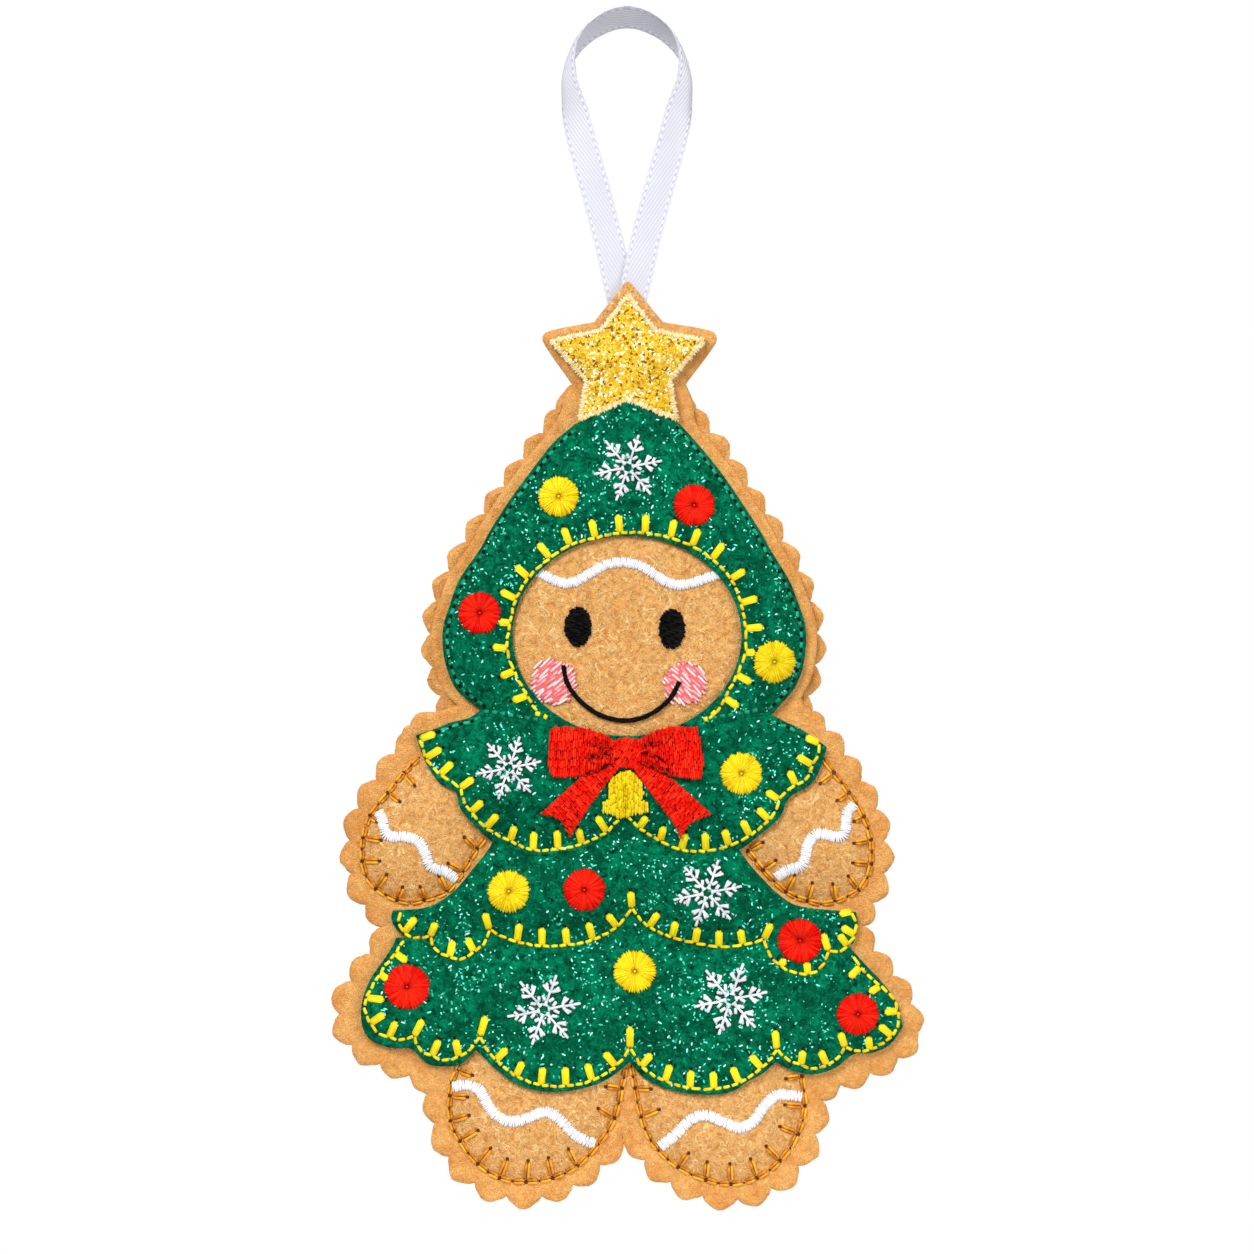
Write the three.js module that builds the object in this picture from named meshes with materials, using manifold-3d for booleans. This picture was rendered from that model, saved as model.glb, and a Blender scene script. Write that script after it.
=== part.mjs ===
import * as THREE from 'three';
import { mergeVertices } from 'three/addons/utils/BufferGeometryUtils.js';
import Module from 'manifold-3d';

// A flat stuffed felt figure that hangs on a ribbon loop. Millimetres, +Z up, the front faces -Y.
// The origin is the point where the loop hangs, under the top of the ribbon.
// X shares follow figureWidth from the middle line. Z shares follow figureHeight down from the star's tip.

// Driving sizes of the figure
const figureWidth = 98.7;
const figureHeight = 154.7;
const hangLength = 42.3;

// Felt, stuffing and thread thicknesses
const feltThickness = 1.2;
const glitterThickness = 0.8;
const stabiliserThickness = 0.2;
const threadThickness = 0.4;
const layerGap = 0.2;
const seamHalfGap = 0.45;

// Swell of the stuffed body
const frontLoft = 2.6;
const backLoft = 2.4;
const loftWidth = 9;
const gridStep = 9;

// Edge details
const scallopPitch = 5;
const scallopDepth = 1.65;
const scallopPointShares = [0.16, 0.5, 0.84];
const scallopRoundness = 0.6;
const hoodBand = 1.9;
const pieceGap = 0.3;
const neckBandShare = 0.463;
const leastSquareness = 0.5;
const seamProbe = 0.9;

// How finely rounds are drawn, and how near points must be to be one
const faceSides = 32;
const discSides = 16;
const mergeDistance = 0.0002;
const cutReachFactor = 6;

// Thread work
const edgeStitchWidth = 0.8;
const runningStitchWidth = 0.6;
const blanketLineWidth = 0.7;
const edgeStitchInset = 0.15;
const runningStitchInset = 0.7;
const blanketInset = 0.5;
const faceStitchOut = 0.6;
const faceStitchStart = -44;
const faceStitchEnd = 225;
const tickWidth = 1.4;
const tickLength = 3;
const tickPitch = 4.2;
const backStitchWidth = 0.6;
const backSeamInset = 3.2;
const goldLineWidth = 0.7;
const goldTickWidth = 0.8;
const goldTickLength = 2.4;
const goldTickPitch = 4;
const icingWidth = 1.6;
const foreheadIcingWidth = 1.3;
const smileWidth = 0.8;
const baubleDiameter = 7;
const snowflakeDiameter = 11.3;
const snowflakeArmWidth = 0.8;
const snowflakeTurnDegrees = 11;
const snowflakeArms = 6;
const snowflakeBranchShares = [0.5];
const snowflakeBranchLengthShare = 0.36;
const eyeWidth = 4.5;
const eyeHeight = 6.7;
const cheekDiameter = 7.5;

// Ribbon
const ribbonWidth = 5;
const ribbonThickness = 0.2;
const ribbonLegShift = 0.2;
const loopRadius = 9.67;
const legSpacing = 3.8;
const tailLength = 9;
const hingeHeight = 0.9;
const hingeClearance = 0.45;
const arcSteps = 14;
const legSteps = 8;
// The ribbon's turn away from face-on, in degrees, at shares of the way from the loop's top to a leg's end
const ribbonTurnShares = [
  [0, 48], [0.17, 64], [0.29, 60], [0.36, 48],
  [0.43, 34], [0.52, 18], [0.66, 0], [1, 0],
];

// Face opening
const faceWidth = 38.2;
const faceHeight = 33.3;
const faceHeightShare = 0.383;

const starBorderShares = [
  [-0.008, 0.006], [0.002, 0.000], [0.012, 0.006], [0.061, 0.044], [0.140, 0.053], [0.150, 0.058],
  [0.150, 0.067], [0.100, 0.111], [0.103, 0.133], [-0.012, 0.133], [-0.100, 0.133], [-0.093, 0.112],
  [-0.140, 0.068], [-0.143, 0.059], [-0.132, 0.054], [-0.056, 0.044],
];
const starShares = [
  [0.002, 0.012], [0.051, 0.052], [0.137, 0.062], [0.076, 0.108], [0.088, 0.151], [0.000, 0.128],
  [-0.084, 0.152], [-0.073, 0.108], [-0.134, 0.064], [-0.046, 0.051],
];
const hoodShares = [
  [0.000, 0.131], [-0.088, 0.156], [-0.123, 0.173], [-0.162, 0.205], [-0.199, 0.237], [-0.230, 0.267],
  [-0.248, 0.289], [-0.284, 0.322], [-0.297, 0.345], [-0.311, 0.374], [-0.311, 0.399], [-0.304, 0.418],
  [-0.292, 0.436], [-0.275, 0.448], [-0.245, 0.462], [-0.206, 0.470], [-0.139, 0.481], [-0.071, 0.492],
  [0.000, 0.497], [0.071, 0.492], [0.137, 0.482], [0.191, 0.473], [0.240, 0.469], [0.258, 0.457],
  [0.279, 0.443], [0.291, 0.429], [0.297, 0.416], [0.302, 0.392], [0.301, 0.370], [0.285, 0.341],
  [0.274, 0.322], [0.242, 0.289], [0.223, 0.267], [0.201, 0.246], [0.168, 0.214], [0.130, 0.183],
  [0.090, 0.156],
];
const capeShares = [
  [-0.245, 0.463], [-0.267, 0.471], [-0.296, 0.475], [-0.321, 0.482], [-0.350, 0.491], [-0.336, 0.515],
  [-0.312, 0.538], [-0.284, 0.548], [-0.277, 0.566], [-0.257, 0.583], [-0.226, 0.601], [-0.174, 0.613],
  [-0.132, 0.615], [-0.071, 0.608], [-0.019, 0.588], [-0.003, 0.574], [0.017, 0.589], [0.057, 0.606],
  [0.101, 0.613], [0.145, 0.615], [0.189, 0.613], [0.226, 0.596], [0.258, 0.578], [0.274, 0.557],
  [0.306, 0.540], [0.321, 0.524], [0.331, 0.503], [0.324, 0.496], [0.291, 0.482], [0.272, 0.476],
  [0.240, 0.470], [0.191, 0.474], [0.137, 0.483], [0.071, 0.494], [0.000, 0.498], [-0.071, 0.494],
  [-0.139, 0.482], [-0.206, 0.471],
];
const upperSkirtShares = [
  [-0.240, 0.580], [-0.250, 0.613], [-0.277, 0.643], [-0.316, 0.667], [-0.385, 0.680], [-0.383, 0.697],
  [-0.372, 0.706], [-0.336, 0.707], [-0.331, 0.716], [-0.314, 0.727], [-0.292, 0.732], [-0.262, 0.727],
  [-0.236, 0.711], [-0.230, 0.700], [-0.196, 0.712], [-0.152, 0.717], [-0.116, 0.717], [-0.061, 0.710],
  [-0.014, 0.696], [0.008, 0.678], [0.020, 0.690], [0.064, 0.707], [0.120, 0.718], [0.174, 0.720],
  [0.226, 0.711], [0.236, 0.718], [0.269, 0.741], [0.306, 0.747], [0.333, 0.739], [0.343, 0.723],
  [0.383, 0.713], [0.387, 0.692], [0.379, 0.677], [0.302, 0.670], [0.255, 0.652], [0.230, 0.638],
  [0.194, 0.613], [0.218, 0.592],
];
const lowerSkirtShares = [
  [-0.282, 0.699], [-0.376, 0.709], [-0.390, 0.720], [-0.420, 0.746], [-0.446, 0.772], [-0.449, 0.795],
  [-0.434, 0.814], [-0.398, 0.824], [-0.365, 0.825], [-0.336, 0.842], [-0.306, 0.844], [-0.280, 0.842],
  [-0.255, 0.828], [-0.226, 0.851], [-0.189, 0.867], [-0.133, 0.873], [-0.079, 0.871], [-0.032, 0.860],
  [0.005, 0.842], [0.027, 0.856], [0.064, 0.870], [0.130, 0.877], [0.193, 0.871], [0.226, 0.856],
  [0.252, 0.842], [0.277, 0.849], [0.313, 0.853], [0.350, 0.846], [0.375, 0.832], [0.409, 0.831],
  [0.441, 0.822], [0.463, 0.804], [0.456, 0.779], [0.434, 0.755], [0.405, 0.737], [0.379, 0.719],
  [0.292, 0.689], [0.000, 0.667],
];
// Each pair of neighbours is the foot of one scallop, down the left side and up the right.
const scallopNotchShares = [
  [-0.093, 0.112], [-0.118, 0.139], [-0.140, 0.165], [-0.172, 0.193], [-0.206, 0.223], [-0.238, 0.252],
  [-0.274, 0.282], [-0.301, 0.315], [-0.321, 0.346], [-0.331, 0.380], [-0.328, 0.416], [-0.314, 0.447],
  [-0.321, 0.466], [-0.365, 0.486], [-0.390, 0.511], [-0.422, 0.539], [-0.451, 0.569], [-0.468, 0.603],
  [-0.464, 0.638], [-0.439, 0.671], [-0.416, 0.696], [-0.432, 0.725], [-0.464, 0.754], [-0.485, 0.789],
  [-0.464, 0.822], [-0.416, 0.843], [-0.365, 0.855], [-0.333, 0.875], [-0.324, 0.906], [-0.299, 0.943],
  [-0.255, 0.973], [-0.202, 0.987], [-0.144, 0.987], [-0.091, 0.974], [-0.046, 0.953], [-0.006, 0.929],
  [0.030, 0.947], [0.073, 0.971], [0.130, 0.985], [0.188, 0.989], [0.243, 0.978], [0.287, 0.953],
  [0.324, 0.920], [0.331, 0.883], [0.361, 0.862], [0.409, 0.846], [0.454, 0.830], [0.492, 0.809],
  [0.480, 0.778], [0.449, 0.751], [0.417, 0.723], [0.402, 0.695], [0.419, 0.669], [0.432, 0.638],
  [0.434, 0.606], [0.422, 0.569], [0.395, 0.540], [0.367, 0.512], [0.336, 0.485], [0.312, 0.464],
  [0.311, 0.448], [0.318, 0.415], [0.320, 0.380], [0.312, 0.345], [0.292, 0.312], [0.264, 0.280],
  [0.234, 0.252], [0.204, 0.224], [0.173, 0.193], [0.140, 0.165], [0.115, 0.138], [0.100, 0.111],
];
const handSeamLeftShares = [
  [-0.346, 0.520], [-0.380, 0.531], [-0.402, 0.546], [-0.422, 0.561], [-0.436, 0.574], [-0.448, 0.601],
  [-0.449, 0.619], [-0.441, 0.643], [-0.422, 0.661], [-0.391, 0.671], [-0.353, 0.671], [-0.316, 0.660],
  [-0.288, 0.637], [-0.266, 0.614], [-0.250, 0.600],
];
const handSeamRightShares = [
  [0.331, 0.520], [0.350, 0.529], [0.379, 0.554], [0.405, 0.578], [0.417, 0.606], [0.414, 0.636],
  [0.394, 0.657], [0.350, 0.668], [0.308, 0.664], [0.262, 0.646], [0.238, 0.632], [0.206, 0.613],
];
const footSeamLeftShares = [
  [-0.290, 0.850], [-0.298, 0.860], [-0.302, 0.884], [-0.296, 0.912], [-0.277, 0.933], [-0.243, 0.954],
  [-0.199, 0.968], [-0.167, 0.970], [-0.116, 0.963], [-0.068, 0.947], [-0.035, 0.921], [-0.018, 0.893],
  [-0.014, 0.870],
];
const footSeamRightShares = [
  [0.012, 0.866], [0.017, 0.876], [0.027, 0.902], [0.049, 0.930], [0.090, 0.956], [0.137, 0.970],
  [0.189, 0.974], [0.233, 0.966], [0.269, 0.940], [0.291, 0.916], [0.302, 0.879], [0.302, 0.862],
];
const handIcingLeftShares = [
  [-0.421, 0.571], [-0.412, 0.583], [-0.405, 0.597], [-0.373, 0.599], [-0.353, 0.603], [-0.340, 0.619],
  [-0.331, 0.631], [-0.305, 0.637], [-0.287, 0.643],
];
const handIcingRightShares = [
  [0.385, 0.564], [0.372, 0.573], [0.370, 0.587], [0.361, 0.599], [0.321, 0.596], [0.306, 0.608],
  [0.296, 0.629], [0.269, 0.636], [0.254, 0.640],
];
const footIcingLeftShares = [
  [-0.296, 0.869], [-0.270, 0.866], [-0.248, 0.873], [-0.230, 0.893], [-0.204, 0.905], [-0.177, 0.904],
  [-0.138, 0.895], [-0.116, 0.902], [-0.086, 0.921], [-0.054, 0.930],
];
const footIcingRightShares = [
  [0.056, 0.933], [0.079, 0.921], [0.105, 0.905], [0.130, 0.899], [0.159, 0.905], [0.189, 0.913],
  [0.215, 0.905], [0.233, 0.888], [0.255, 0.877], [0.296, 0.879],
];
const foreheadIcingShares = [
  [-0.140, 0.317], [-0.117, 0.324], [-0.093, 0.325], [-0.062, 0.315], [-0.035, 0.305], [-0.003, 0.303],
  [0.030, 0.308], [0.059, 0.320], [0.084, 0.325], [0.113, 0.323], [0.140, 0.318],
];
const smileShares = [
  [-0.106, 0.414], [-0.103, 0.430], [-0.090, 0.445], [-0.069, 0.458], [-0.042, 0.469], [-0.003, 0.474],
  [0.032, 0.470], [0.057, 0.460], [0.078, 0.447], [0.090, 0.432],
];
const bowShares = {
  bow_loop_left: [
    [-0.130, 0.480], [-0.098, 0.480], [-0.064, 0.482], [-0.022, 0.496], [-0.022, 0.518], [-0.083, 0.532],
    [-0.122, 0.536], [-0.132, 0.530],
  ],
  bow_loop_right: [
    [0.022, 0.496], [0.069, 0.481], [0.120, 0.481], [0.130, 0.518], [0.124, 0.538], [0.074, 0.534],
    [0.022, 0.518],
  ],
  bow_knot: [
    [-0.016, 0.495], [0.000, 0.491], [0.016, 0.495], [0.016, 0.519], [0.000, 0.524], [-0.016, 0.519],
  ],
  bow_tail_left: [
    [-0.074, 0.536], [-0.144, 0.574], [-0.110, 0.582], [-0.096, 0.599], [-0.042, 0.553], [-0.017, 0.525],
  ],
  bow_tail_right: [
    [0.017, 0.525], [0.051, 0.563], [0.090, 0.600], [0.104, 0.586], [0.139, 0.577], [0.117, 0.560],
    [0.071, 0.538],
  ],
};
const bellShares = [
  [0.002, 0.530], [-0.010, 0.536], [-0.016, 0.545], [-0.020, 0.559], [-0.034, 0.565], [-0.034, 0.572],
  [-0.015, 0.573], [-0.003, 0.578], [0.010, 0.573], [0.034, 0.572], [0.034, 0.566], [0.026, 0.560],
  [0.022, 0.545], [0.014, 0.536],
];
// The stuffed core stays well inside the seam.
const coreShares = [
  [0.000, 0.190], [-0.100, 0.250], [-0.195, 0.330], [-0.240, 0.387], [-0.205, 0.430], [-0.165, 0.475],
  [-0.225, 0.510], [-0.215, 0.560], [-0.190, 0.610], [-0.185, 0.660], [-0.270, 0.715], [-0.345, 0.765],
  [-0.365, 0.785], [-0.320, 0.795], [-0.240, 0.790], [-0.180, 0.825], [-0.088, 0.825], [0.002, 0.800],
  [0.098, 0.825], [0.190, 0.825], [0.250, 0.795], [0.330, 0.800], [0.375, 0.785], [0.355, 0.765],
  [0.280, 0.715], [0.195, 0.660], [0.175, 0.610], [0.212, 0.560], [0.225, 0.510], [0.165, 0.475],
  [0.205, 0.430], [0.235, 0.387], [0.195, 0.330], [0.100, 0.250],
];
// Where each hand and foot runs on under the dress
const shoulderShare = 0.19;
const elbowShare = 0.56;
const hipShare = 0.15;
const kneeShare = 0.8;
const baublePlaceShares = {
  bauble_hood_yellow: [-0.117, 0.232],
  bauble_hood_red: [0.113, 0.241],
  bauble_cheek_red: [-0.250, 0.358],
  bauble_cheek_yellow: [0.250, 0.411],
  bauble_cape_yellow: [0.193, 0.531],
  bauble_upper_yellow: [-0.199, 0.657],
  bauble_upper_red: [-0.071, 0.656],
  bauble_upper_edge_red: [0.291, 0.711],
  bauble_lower_yellow: [0.012, 0.745],
  bauble_lower_left_red: [-0.375, 0.759],
  bauble_lower_right_red: [0.390, 0.789],
};
const snowflakePlaceShares = {
  snowflake_hood: [0.002, 0.199],
  snowflake_cape: [-0.199, 0.524],
  snowflake_upper: [0.137, 0.657],
  snowflake_lower_left: [-0.139, 0.786],
  snowflake_lower_right: [0.182, 0.775],
};
const eyePlaceShares = { eye_left: [-0.083, 0.373], eye_right: [0.076, 0.375] };
const cheekPlaceShares = { cheek_left: [-0.123, 0.432], cheek_right: [0.098, 0.433] };

const wasm = await Module();
wasm.setup();

const place = ([x, z]) => new THREE.Vector2(x * figureWidth, -hangLength - z * figureHeight);
const places = (shares) => shares.map(place);

// Points of an outline in counter-clockwise order, seen with x to the right and z up
function counterClockwise(points) {
  return THREE.ShapeUtils.isClockWise(points) ? points.slice().reverse() : points;
}

// A closed outline moved out by distance, or in where it is negative, with its points in the same order
function offsetOutline(points, distance) {
  const sign = THREE.ShapeUtils.isClockWise(points) ? -1 : 1;
  return points.map((point, i) => {
    const before = points[(i + points.length - 1) % points.length];
    const after = points[(i + 1) % points.length];
    const first = point.clone().sub(before).normalize();
    const second = after.clone().sub(point).normalize();
    const normal = new THREE.Vector2(first.y + second.y, -first.x - second.x).normalize();
    const squareness = Math.max(normal.dot(new THREE.Vector2(first.y, -first.x)), leastSquareness);
    return point.clone().addScaledVector(normal, (sign * distance) / squareness);
  });
}

// A band of thread of even width along an open line
function band(points, width) {
  const sides = points.map((point, i) => {
    const along = points[Math.min(i + 1, points.length - 1)].clone().sub(points[Math.max(i - 1, 0)]);
    return new THREE.Vector2(-along.y, along.x).normalize().multiplyScalar(width / 2);
  });
  const left = points.map((point, i) => point.clone().add(sides[i]));
  const right = points.map((point, i) => point.clone().sub(sides[i]));
  return [...left, ...right.reverse()];
}

// Points along an open line, evenly spread, with the line's direction at each
function spread(points, pitch) {
  const path = new THREE.CurvePath();
  for (let i = 1; i < points.length; i += 1) path.add(new THREE.LineCurve(points[i - 1], points[i]));
  const count = Math.max(1, Math.round(path.getLength() / pitch));
  return Array.from({ length: count }, (_, i) => {
    const share = (i + 0.5) / count;
    return { point: path.getPointAt(share), along: path.getTangentAt(share) };
  });
}

// A straight stitch as a small rectangle from one point to another
const stitch = (from, to, width) => band([from, to], width);

// Stitches that stand square on a line, on its left side where side is 1
function ticks(points, pitch, length, width, side) {
  return spread(points, pitch).map(({ point, along }) => {
    const inward = new THREE.Vector2(-along.y, along.x).multiplyScalar(side * length);
    return stitch(point, point.clone().add(inward), width);
  });
}

// The scalloped edge: one arc or more between each pair of notches
function scalloped(notches) {
  const loop = counterClockwise(notches);
  const outline = [];
  loop.forEach((start, i) => {
    const end = loop[(i + 1) % loop.length];
    const chord = end.clone().sub(start);
    const count = i === loop.length - 1 ? 0 : Math.max(1, Math.round(chord.length() / scallopPitch));
    const outward = new THREE.Vector2(chord.y, -chord.x).normalize();
    outline.push(start);
    for (let k = 0; k < count; k += 1) {
      if (k > 0) outline.push(start.clone().addScaledVector(chord, k / count));
      for (const share of scallopPointShares) {
        const rise = scallopDepth * Math.sin(Math.PI * share) ** scallopRoundness;
        const onChord = start.clone().addScaledVector(chord, (k + share) / count);
        outline.push(onChord.addScaledVector(outward, rise));
      }
    }
  });
  return outline;
}

function ellipse(centre, width, height, sides) {
  return Array.from({ length: sides }, (_, i) => {
    const turn = (i / sides) * 2 * Math.PI;
    const [across, up] = [(width / 2) * Math.cos(turn), (height / 2) * Math.sin(turn)];
    return new THREE.Vector2(centre.x + across, centre.y + up);
  });
}

function solid(geometry) {
  const bare = geometry.index ? geometry.clone() : geometry;
  bare.deleteAttribute('normal');
  bare.deleteAttribute('uv');
  const merged = mergeVertices(bare, mergeDistance);
  return new wasm.Manifold(new wasm.Mesh({
    numProp: 3,
    vertProperties: new Float32Array(merged.attributes.position.array),
    triVerts: new Uint32Array(merged.index.array),
  }));
}

function geometryOf(body) {
  const mesh = body.getMesh();
  const geometry = new THREE.BufferGeometry();
  geometry.setAttribute('position', new THREE.BufferAttribute(new Float32Array(mesh.vertProperties), 3));
  geometry.setIndex(new THREE.BufferAttribute(new Uint32Array(mesh.triVerts), 1));
  geometry.computeVertexNormals();
  return geometry;
}

// How far cuts run past the whole thickness of the figure
const cutReach = cutReachFactor * (frontLoft + backLoft + feltThickness);

// An outline in x and z, cut right through the thickness
function prism(points, holes = []) {
  const shape = new THREE.Shape(counterClockwise(points));
  holes.forEach((hole) => shape.holes.push(new THREE.Path(hole)));
  const geometry = new THREE.ExtrudeGeometry(shape, { depth: 2 * cutReach, bevelEnabled: false });
  geometry.translate(0, 0, -cutReach);
  geometry.rotateX(Math.PI / 2);
  return solid(geometry);
}

const join = (bodies) => bodies.reduce((all, body) => all.add(body));

// The seam that closes the stuffed body, followed round from the hood's top
const handLeft = places(handSeamLeftShares);
const handRight = places(handSeamRightShares);
const footLeft = places(footSeamLeftShares);
const footRight = places(footSeamRightShares);
const seamRegions = [
  places(hoodShares), places(capeShares), places(starShares),
  places(upperSkirtShares), places(lowerSkirtShares),
  [...handLeft, place([-shoulderShare, elbowShare])], [...handRight, place([shoulderShare, elbowShare])],
  [...footLeft, place([-hipShare, kneeShare])], [...footRight, place([hipShare, kneeShare])],
];

const segments = (points, closed) => points
  .map((point, i) => [point, points[(i + 1) % points.length]])
  .slice(0, closed ? points.length : points.length - 1);

function distanceToSegment(point, [start, end]) {
  const along = end.clone().sub(start);
  const share = THREE.MathUtils.clamp(point.clone().sub(start).dot(along) / along.lengthSq(), 0, 1);
  return point.distanceTo(start.clone().addScaledVector(along, share));
}

function contains(points, { x, y }) {
  return segments(points, true).reduce((inside, [a, b]) => {
    const crosses = (a.y > y) !== (b.y > y) && x < ((b.x - a.x) * (y - a.y)) / (b.y - a.y) + a.x;
    return crosses ? !inside : inside;
  }, false);
}

// The outer seam alone: the edges of the regions whose outer side is in no other region
const regionEdges = seamRegions.flatMap((region) => segments(counterClockwise(region), true));
const seamSegments = regionEdges.filter(([a, b]) => {
  const along = b.clone().sub(a).normalize();
  const middle = a.clone().add(b).divideScalar(2);
  const outside = middle.addScaledVector(new THREE.Vector2(along.y, -along.x), seamProbe);
  return !seamRegions.some((region) => contains(region, outside));
});
const seamDistance = (point) => Math.min(...seamSegments.map((edge) => distanceToSegment(point, edge)));

// How high the stuffed body stands at a place, as a share of its loft
const liftStore = new Map();
function liftShare(x, z) {
  const key = `${x.toFixed(3)},${z.toFixed(3)}`;
  if (!liftStore.has(key)) {
    const point = new THREE.Vector2(x, z);
    const inside = seamRegions.some((region) => contains(region, point));
    const depth = inside ? seamDistance(point) : 0;
    liftStore.set(key, Math.sin((Math.PI / 2) * Math.min(depth / loftWidth, 1)));
  }
  return liftStore.get(key);
}

// A slab over a box in x and z, between a front and a back surface on one shared grid
function slab(low, high, frontY, backY) {
  const [x0, z0] = [Math.floor(low.x / gridStep), Math.floor(low.y / gridStep)];
  const [x1, z1] = [Math.ceil(high.x / gridStep), Math.ceil(high.y / gridStep)];
  const [across, up] = [x1 - x0 + 1, z1 - z0 + 1];
  const positions = [];
  for (const surface of [frontY, backY]) {
    for (let j = 0; j < up; j += 1) {
      for (let i = 0; i < across; i += 1) {
        const [x, z] = [(x0 + i) * gridStep, (z0 + j) * gridStep];
        positions.push(x, surface(liftShare(x, z)), z);
      }
    }
  }
  const faces = [];
  const quad = (a, b, c, d) => faces.push(a, b, c, a, c, d);
  const front = (i, j) => j * across + i;
  const back = (i, j) => across * up + front(i, j);
  for (let j = 0; j < up - 1; j += 1) {
    for (let i = 0; i < across - 1; i += 1) {
      quad(front(i, j), front(i + 1, j), front(i + 1, j + 1), front(i, j + 1));
      faces.push(back(i, j), back(i + 1, j + 1), back(i + 1, j));
      faces.push(back(i, j), back(i, j + 1), back(i + 1, j + 1));
    }
  }
  for (let i = 0; i < across - 1; i += 1) {
    quad(front(i, 0), back(i, 0), back(i + 1, 0), front(i + 1, 0));
    quad(front(i + 1, up - 1), back(i + 1, up - 1), back(i, up - 1), front(i, up - 1));
  }
  for (let j = 0; j < up - 1; j += 1) {
    quad(front(0, j), front(0, j + 1), back(0, j + 1), back(0, j));
    quad(back(across - 1, j), back(across - 1, j + 1), front(across - 1, j + 1), front(across - 1, j));
  }
  const geometry = new THREE.BufferGeometry();
  geometry.setAttribute('position', new THREE.BufferAttribute(new Float32Array(positions), 3));
  geometry.setIndex(faces);
  return solid(geometry);
}

// Levels of the front, counted outward from the seam's middle plane
const frontFeltLevel = seamHalfGap;
const glitterLevel = frontFeltLevel + feltThickness + layerGap;
const threadOnFelt = glitterLevel;
const secondThreadOnFelt = threadOnFelt + threadThickness + layerGap / 2;
const threadOnGlitter = glitterLevel + glitterThickness + layerGap;
const secondThreadOnGlitter = threadOnGlitter + threadThickness + layerGap / 2;

const group = new THREE.Group();

function material(color, roughness, metalness = 0) {
  return new THREE.MeshStandardMaterial({ color, roughness, metalness });
}
const tanFelt = material('#d9a469', 0.95);
const greenGlitter = material('#0a6b4a', 0.55, 0.2);
const goldGlitter = material('#e0b53a', 0.4, 0.6);
const whiteFibre = material('#f4f2ee', 1);
const satin = material('#e4e4ee', 0.4);
const creamThread = material('#f6e3a0', 0.6);
const greenThread = material('#0f8a63', 0.6);
const yellowThread = material('#f8df1e', 0.55);
const goldThread = material('#b5782a', 0.45, 0.3);
const whiteThread = material('#f5f5fa', 0.55);
const blackThread = material('#151313', 0.6);
const pinkThread = material('#eda6ae', 0.6);
const redThread = material('#e52a14', 0.55);

function add(name, body, look) {
  const mesh = new THREE.Mesh(geometryOf(body), look);
  mesh.name = name;
  group.add(mesh);
}

// The part of a slab that a cutter's outline leaves
function cutSlab(cutter, frontY, backY) {
  const { min, max } = cutter.boundingBox();
  const [low, high] = [new THREE.Vector2(min[0], min[2]), new THREE.Vector2(max[0], max[2])];
  return slab(low, high, frontY, backY).intersect(cutter);
}

// A layer of the front, from near to near plus thickness outward from the seam's middle plane
function frontLayer(name, cutter, near, thickness, look) {
  const frontY = (share) => -(near + thickness + frontLoft * share);
  add(name, cutSlab(cutter, frontY, (share) => -(near + frontLoft * share)), look);
}

function backLayer(name, cutter, near, thickness, look) {
  const nearY = (share) => near + backLoft * share;
  add(name, cutSlab(cutter, nearY, (share) => nearY(share) + thickness), look);
}

function feltBody() {
  const edge = prism(scalloped(places(scallopNotchShares)));
  const star = prism(places(starBorderShares));
  const hood = prism(offsetOutline(places(hoodShares), hoodBand));
  const neck = place([0, neckBandShare]).y;
  const bottom = place([0, 1]).y - scallopDepth;
  const belowNeck = prism([
    new THREE.Vector2(-figureWidth, neck), new THREE.Vector2(-figureWidth, bottom),
    new THREE.Vector2(figureWidth, bottom), new THREE.Vector2(figureWidth, neck),
  ]);
  backLayer('back_felt', join([edge, star]), seamHalfGap, feltThickness, tanFelt);
  const front = join([edge.intersect(belowNeck), star, hood]);
  frontLayer('front_felt', front, frontFeltLevel, feltThickness, tanFelt);
}

// The fibre pad and the stabiliser between the felts
function inside() {
  const core = prism(places(coreShares));
  const stabiliserLevel = frontFeltLevel - layerGap - stabiliserThickness;
  const padFront = (share) => -(stabiliserLevel - layerGap + frontLoft * share);
  const padBack = (share) => seamHalfGap - layerGap + backLoft * share;
  add('stuffing', cutSlab(core, padFront, padBack), whiteFibre);
  frontLayer('stabiliser', core, stabiliserLevel, stabiliserThickness, whiteFibre);
}

const faceCentre = place([0, faceHeightShare]);
const faceOpening = ellipse(faceCentre, faceWidth, faceHeight, faceSides);

function glitterPieces() {
  const cape = places(capeShares);
  const upper = places(upperSkirtShares);
  const capeCut = prism(offsetOutline(cape, pieceGap));
  const upperCut = prism(offsetOutline(upper, pieceGap));
  const hood = prism(places(hoodShares)).subtract(prism(faceOpening)).subtract(capeCut);
  const star = prism(places(starShares)).subtract(prism(offsetOutline(places(hoodShares), pieceGap)));
  const upperSkirt = prism(upper).subtract(capeCut);
  const lowerSkirt = prism(places(lowerSkirtShares)).subtract(upperCut).subtract(capeCut);
  frontLayer('star_glitter_felt', star, glitterLevel, glitterThickness, goldGlitter);
  frontLayer('hood_glitter_felt', hood, glitterLevel, glitterThickness, greenGlitter);
  frontLayer('cape_glitter_felt', prism(cape), glitterLevel, glitterThickness, greenGlitter);
  frontLayer('upper_skirt_glitter_felt', upperSkirt, glitterLevel, glitterThickness, greenGlitter);
  frontLayer('lower_skirt_glitter_felt', lowerSkirt, glitterLevel, glitterThickness, greenGlitter);
}

// An open thread line inside a piece's edge, from one point of its table to another
function edgeLine(shares, from, to, inset) {
  return offsetOutline(places(shares), -inset).slice(from, to + 1);
}

const bandPrism = (points, width) => prism(band(points, width));

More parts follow.
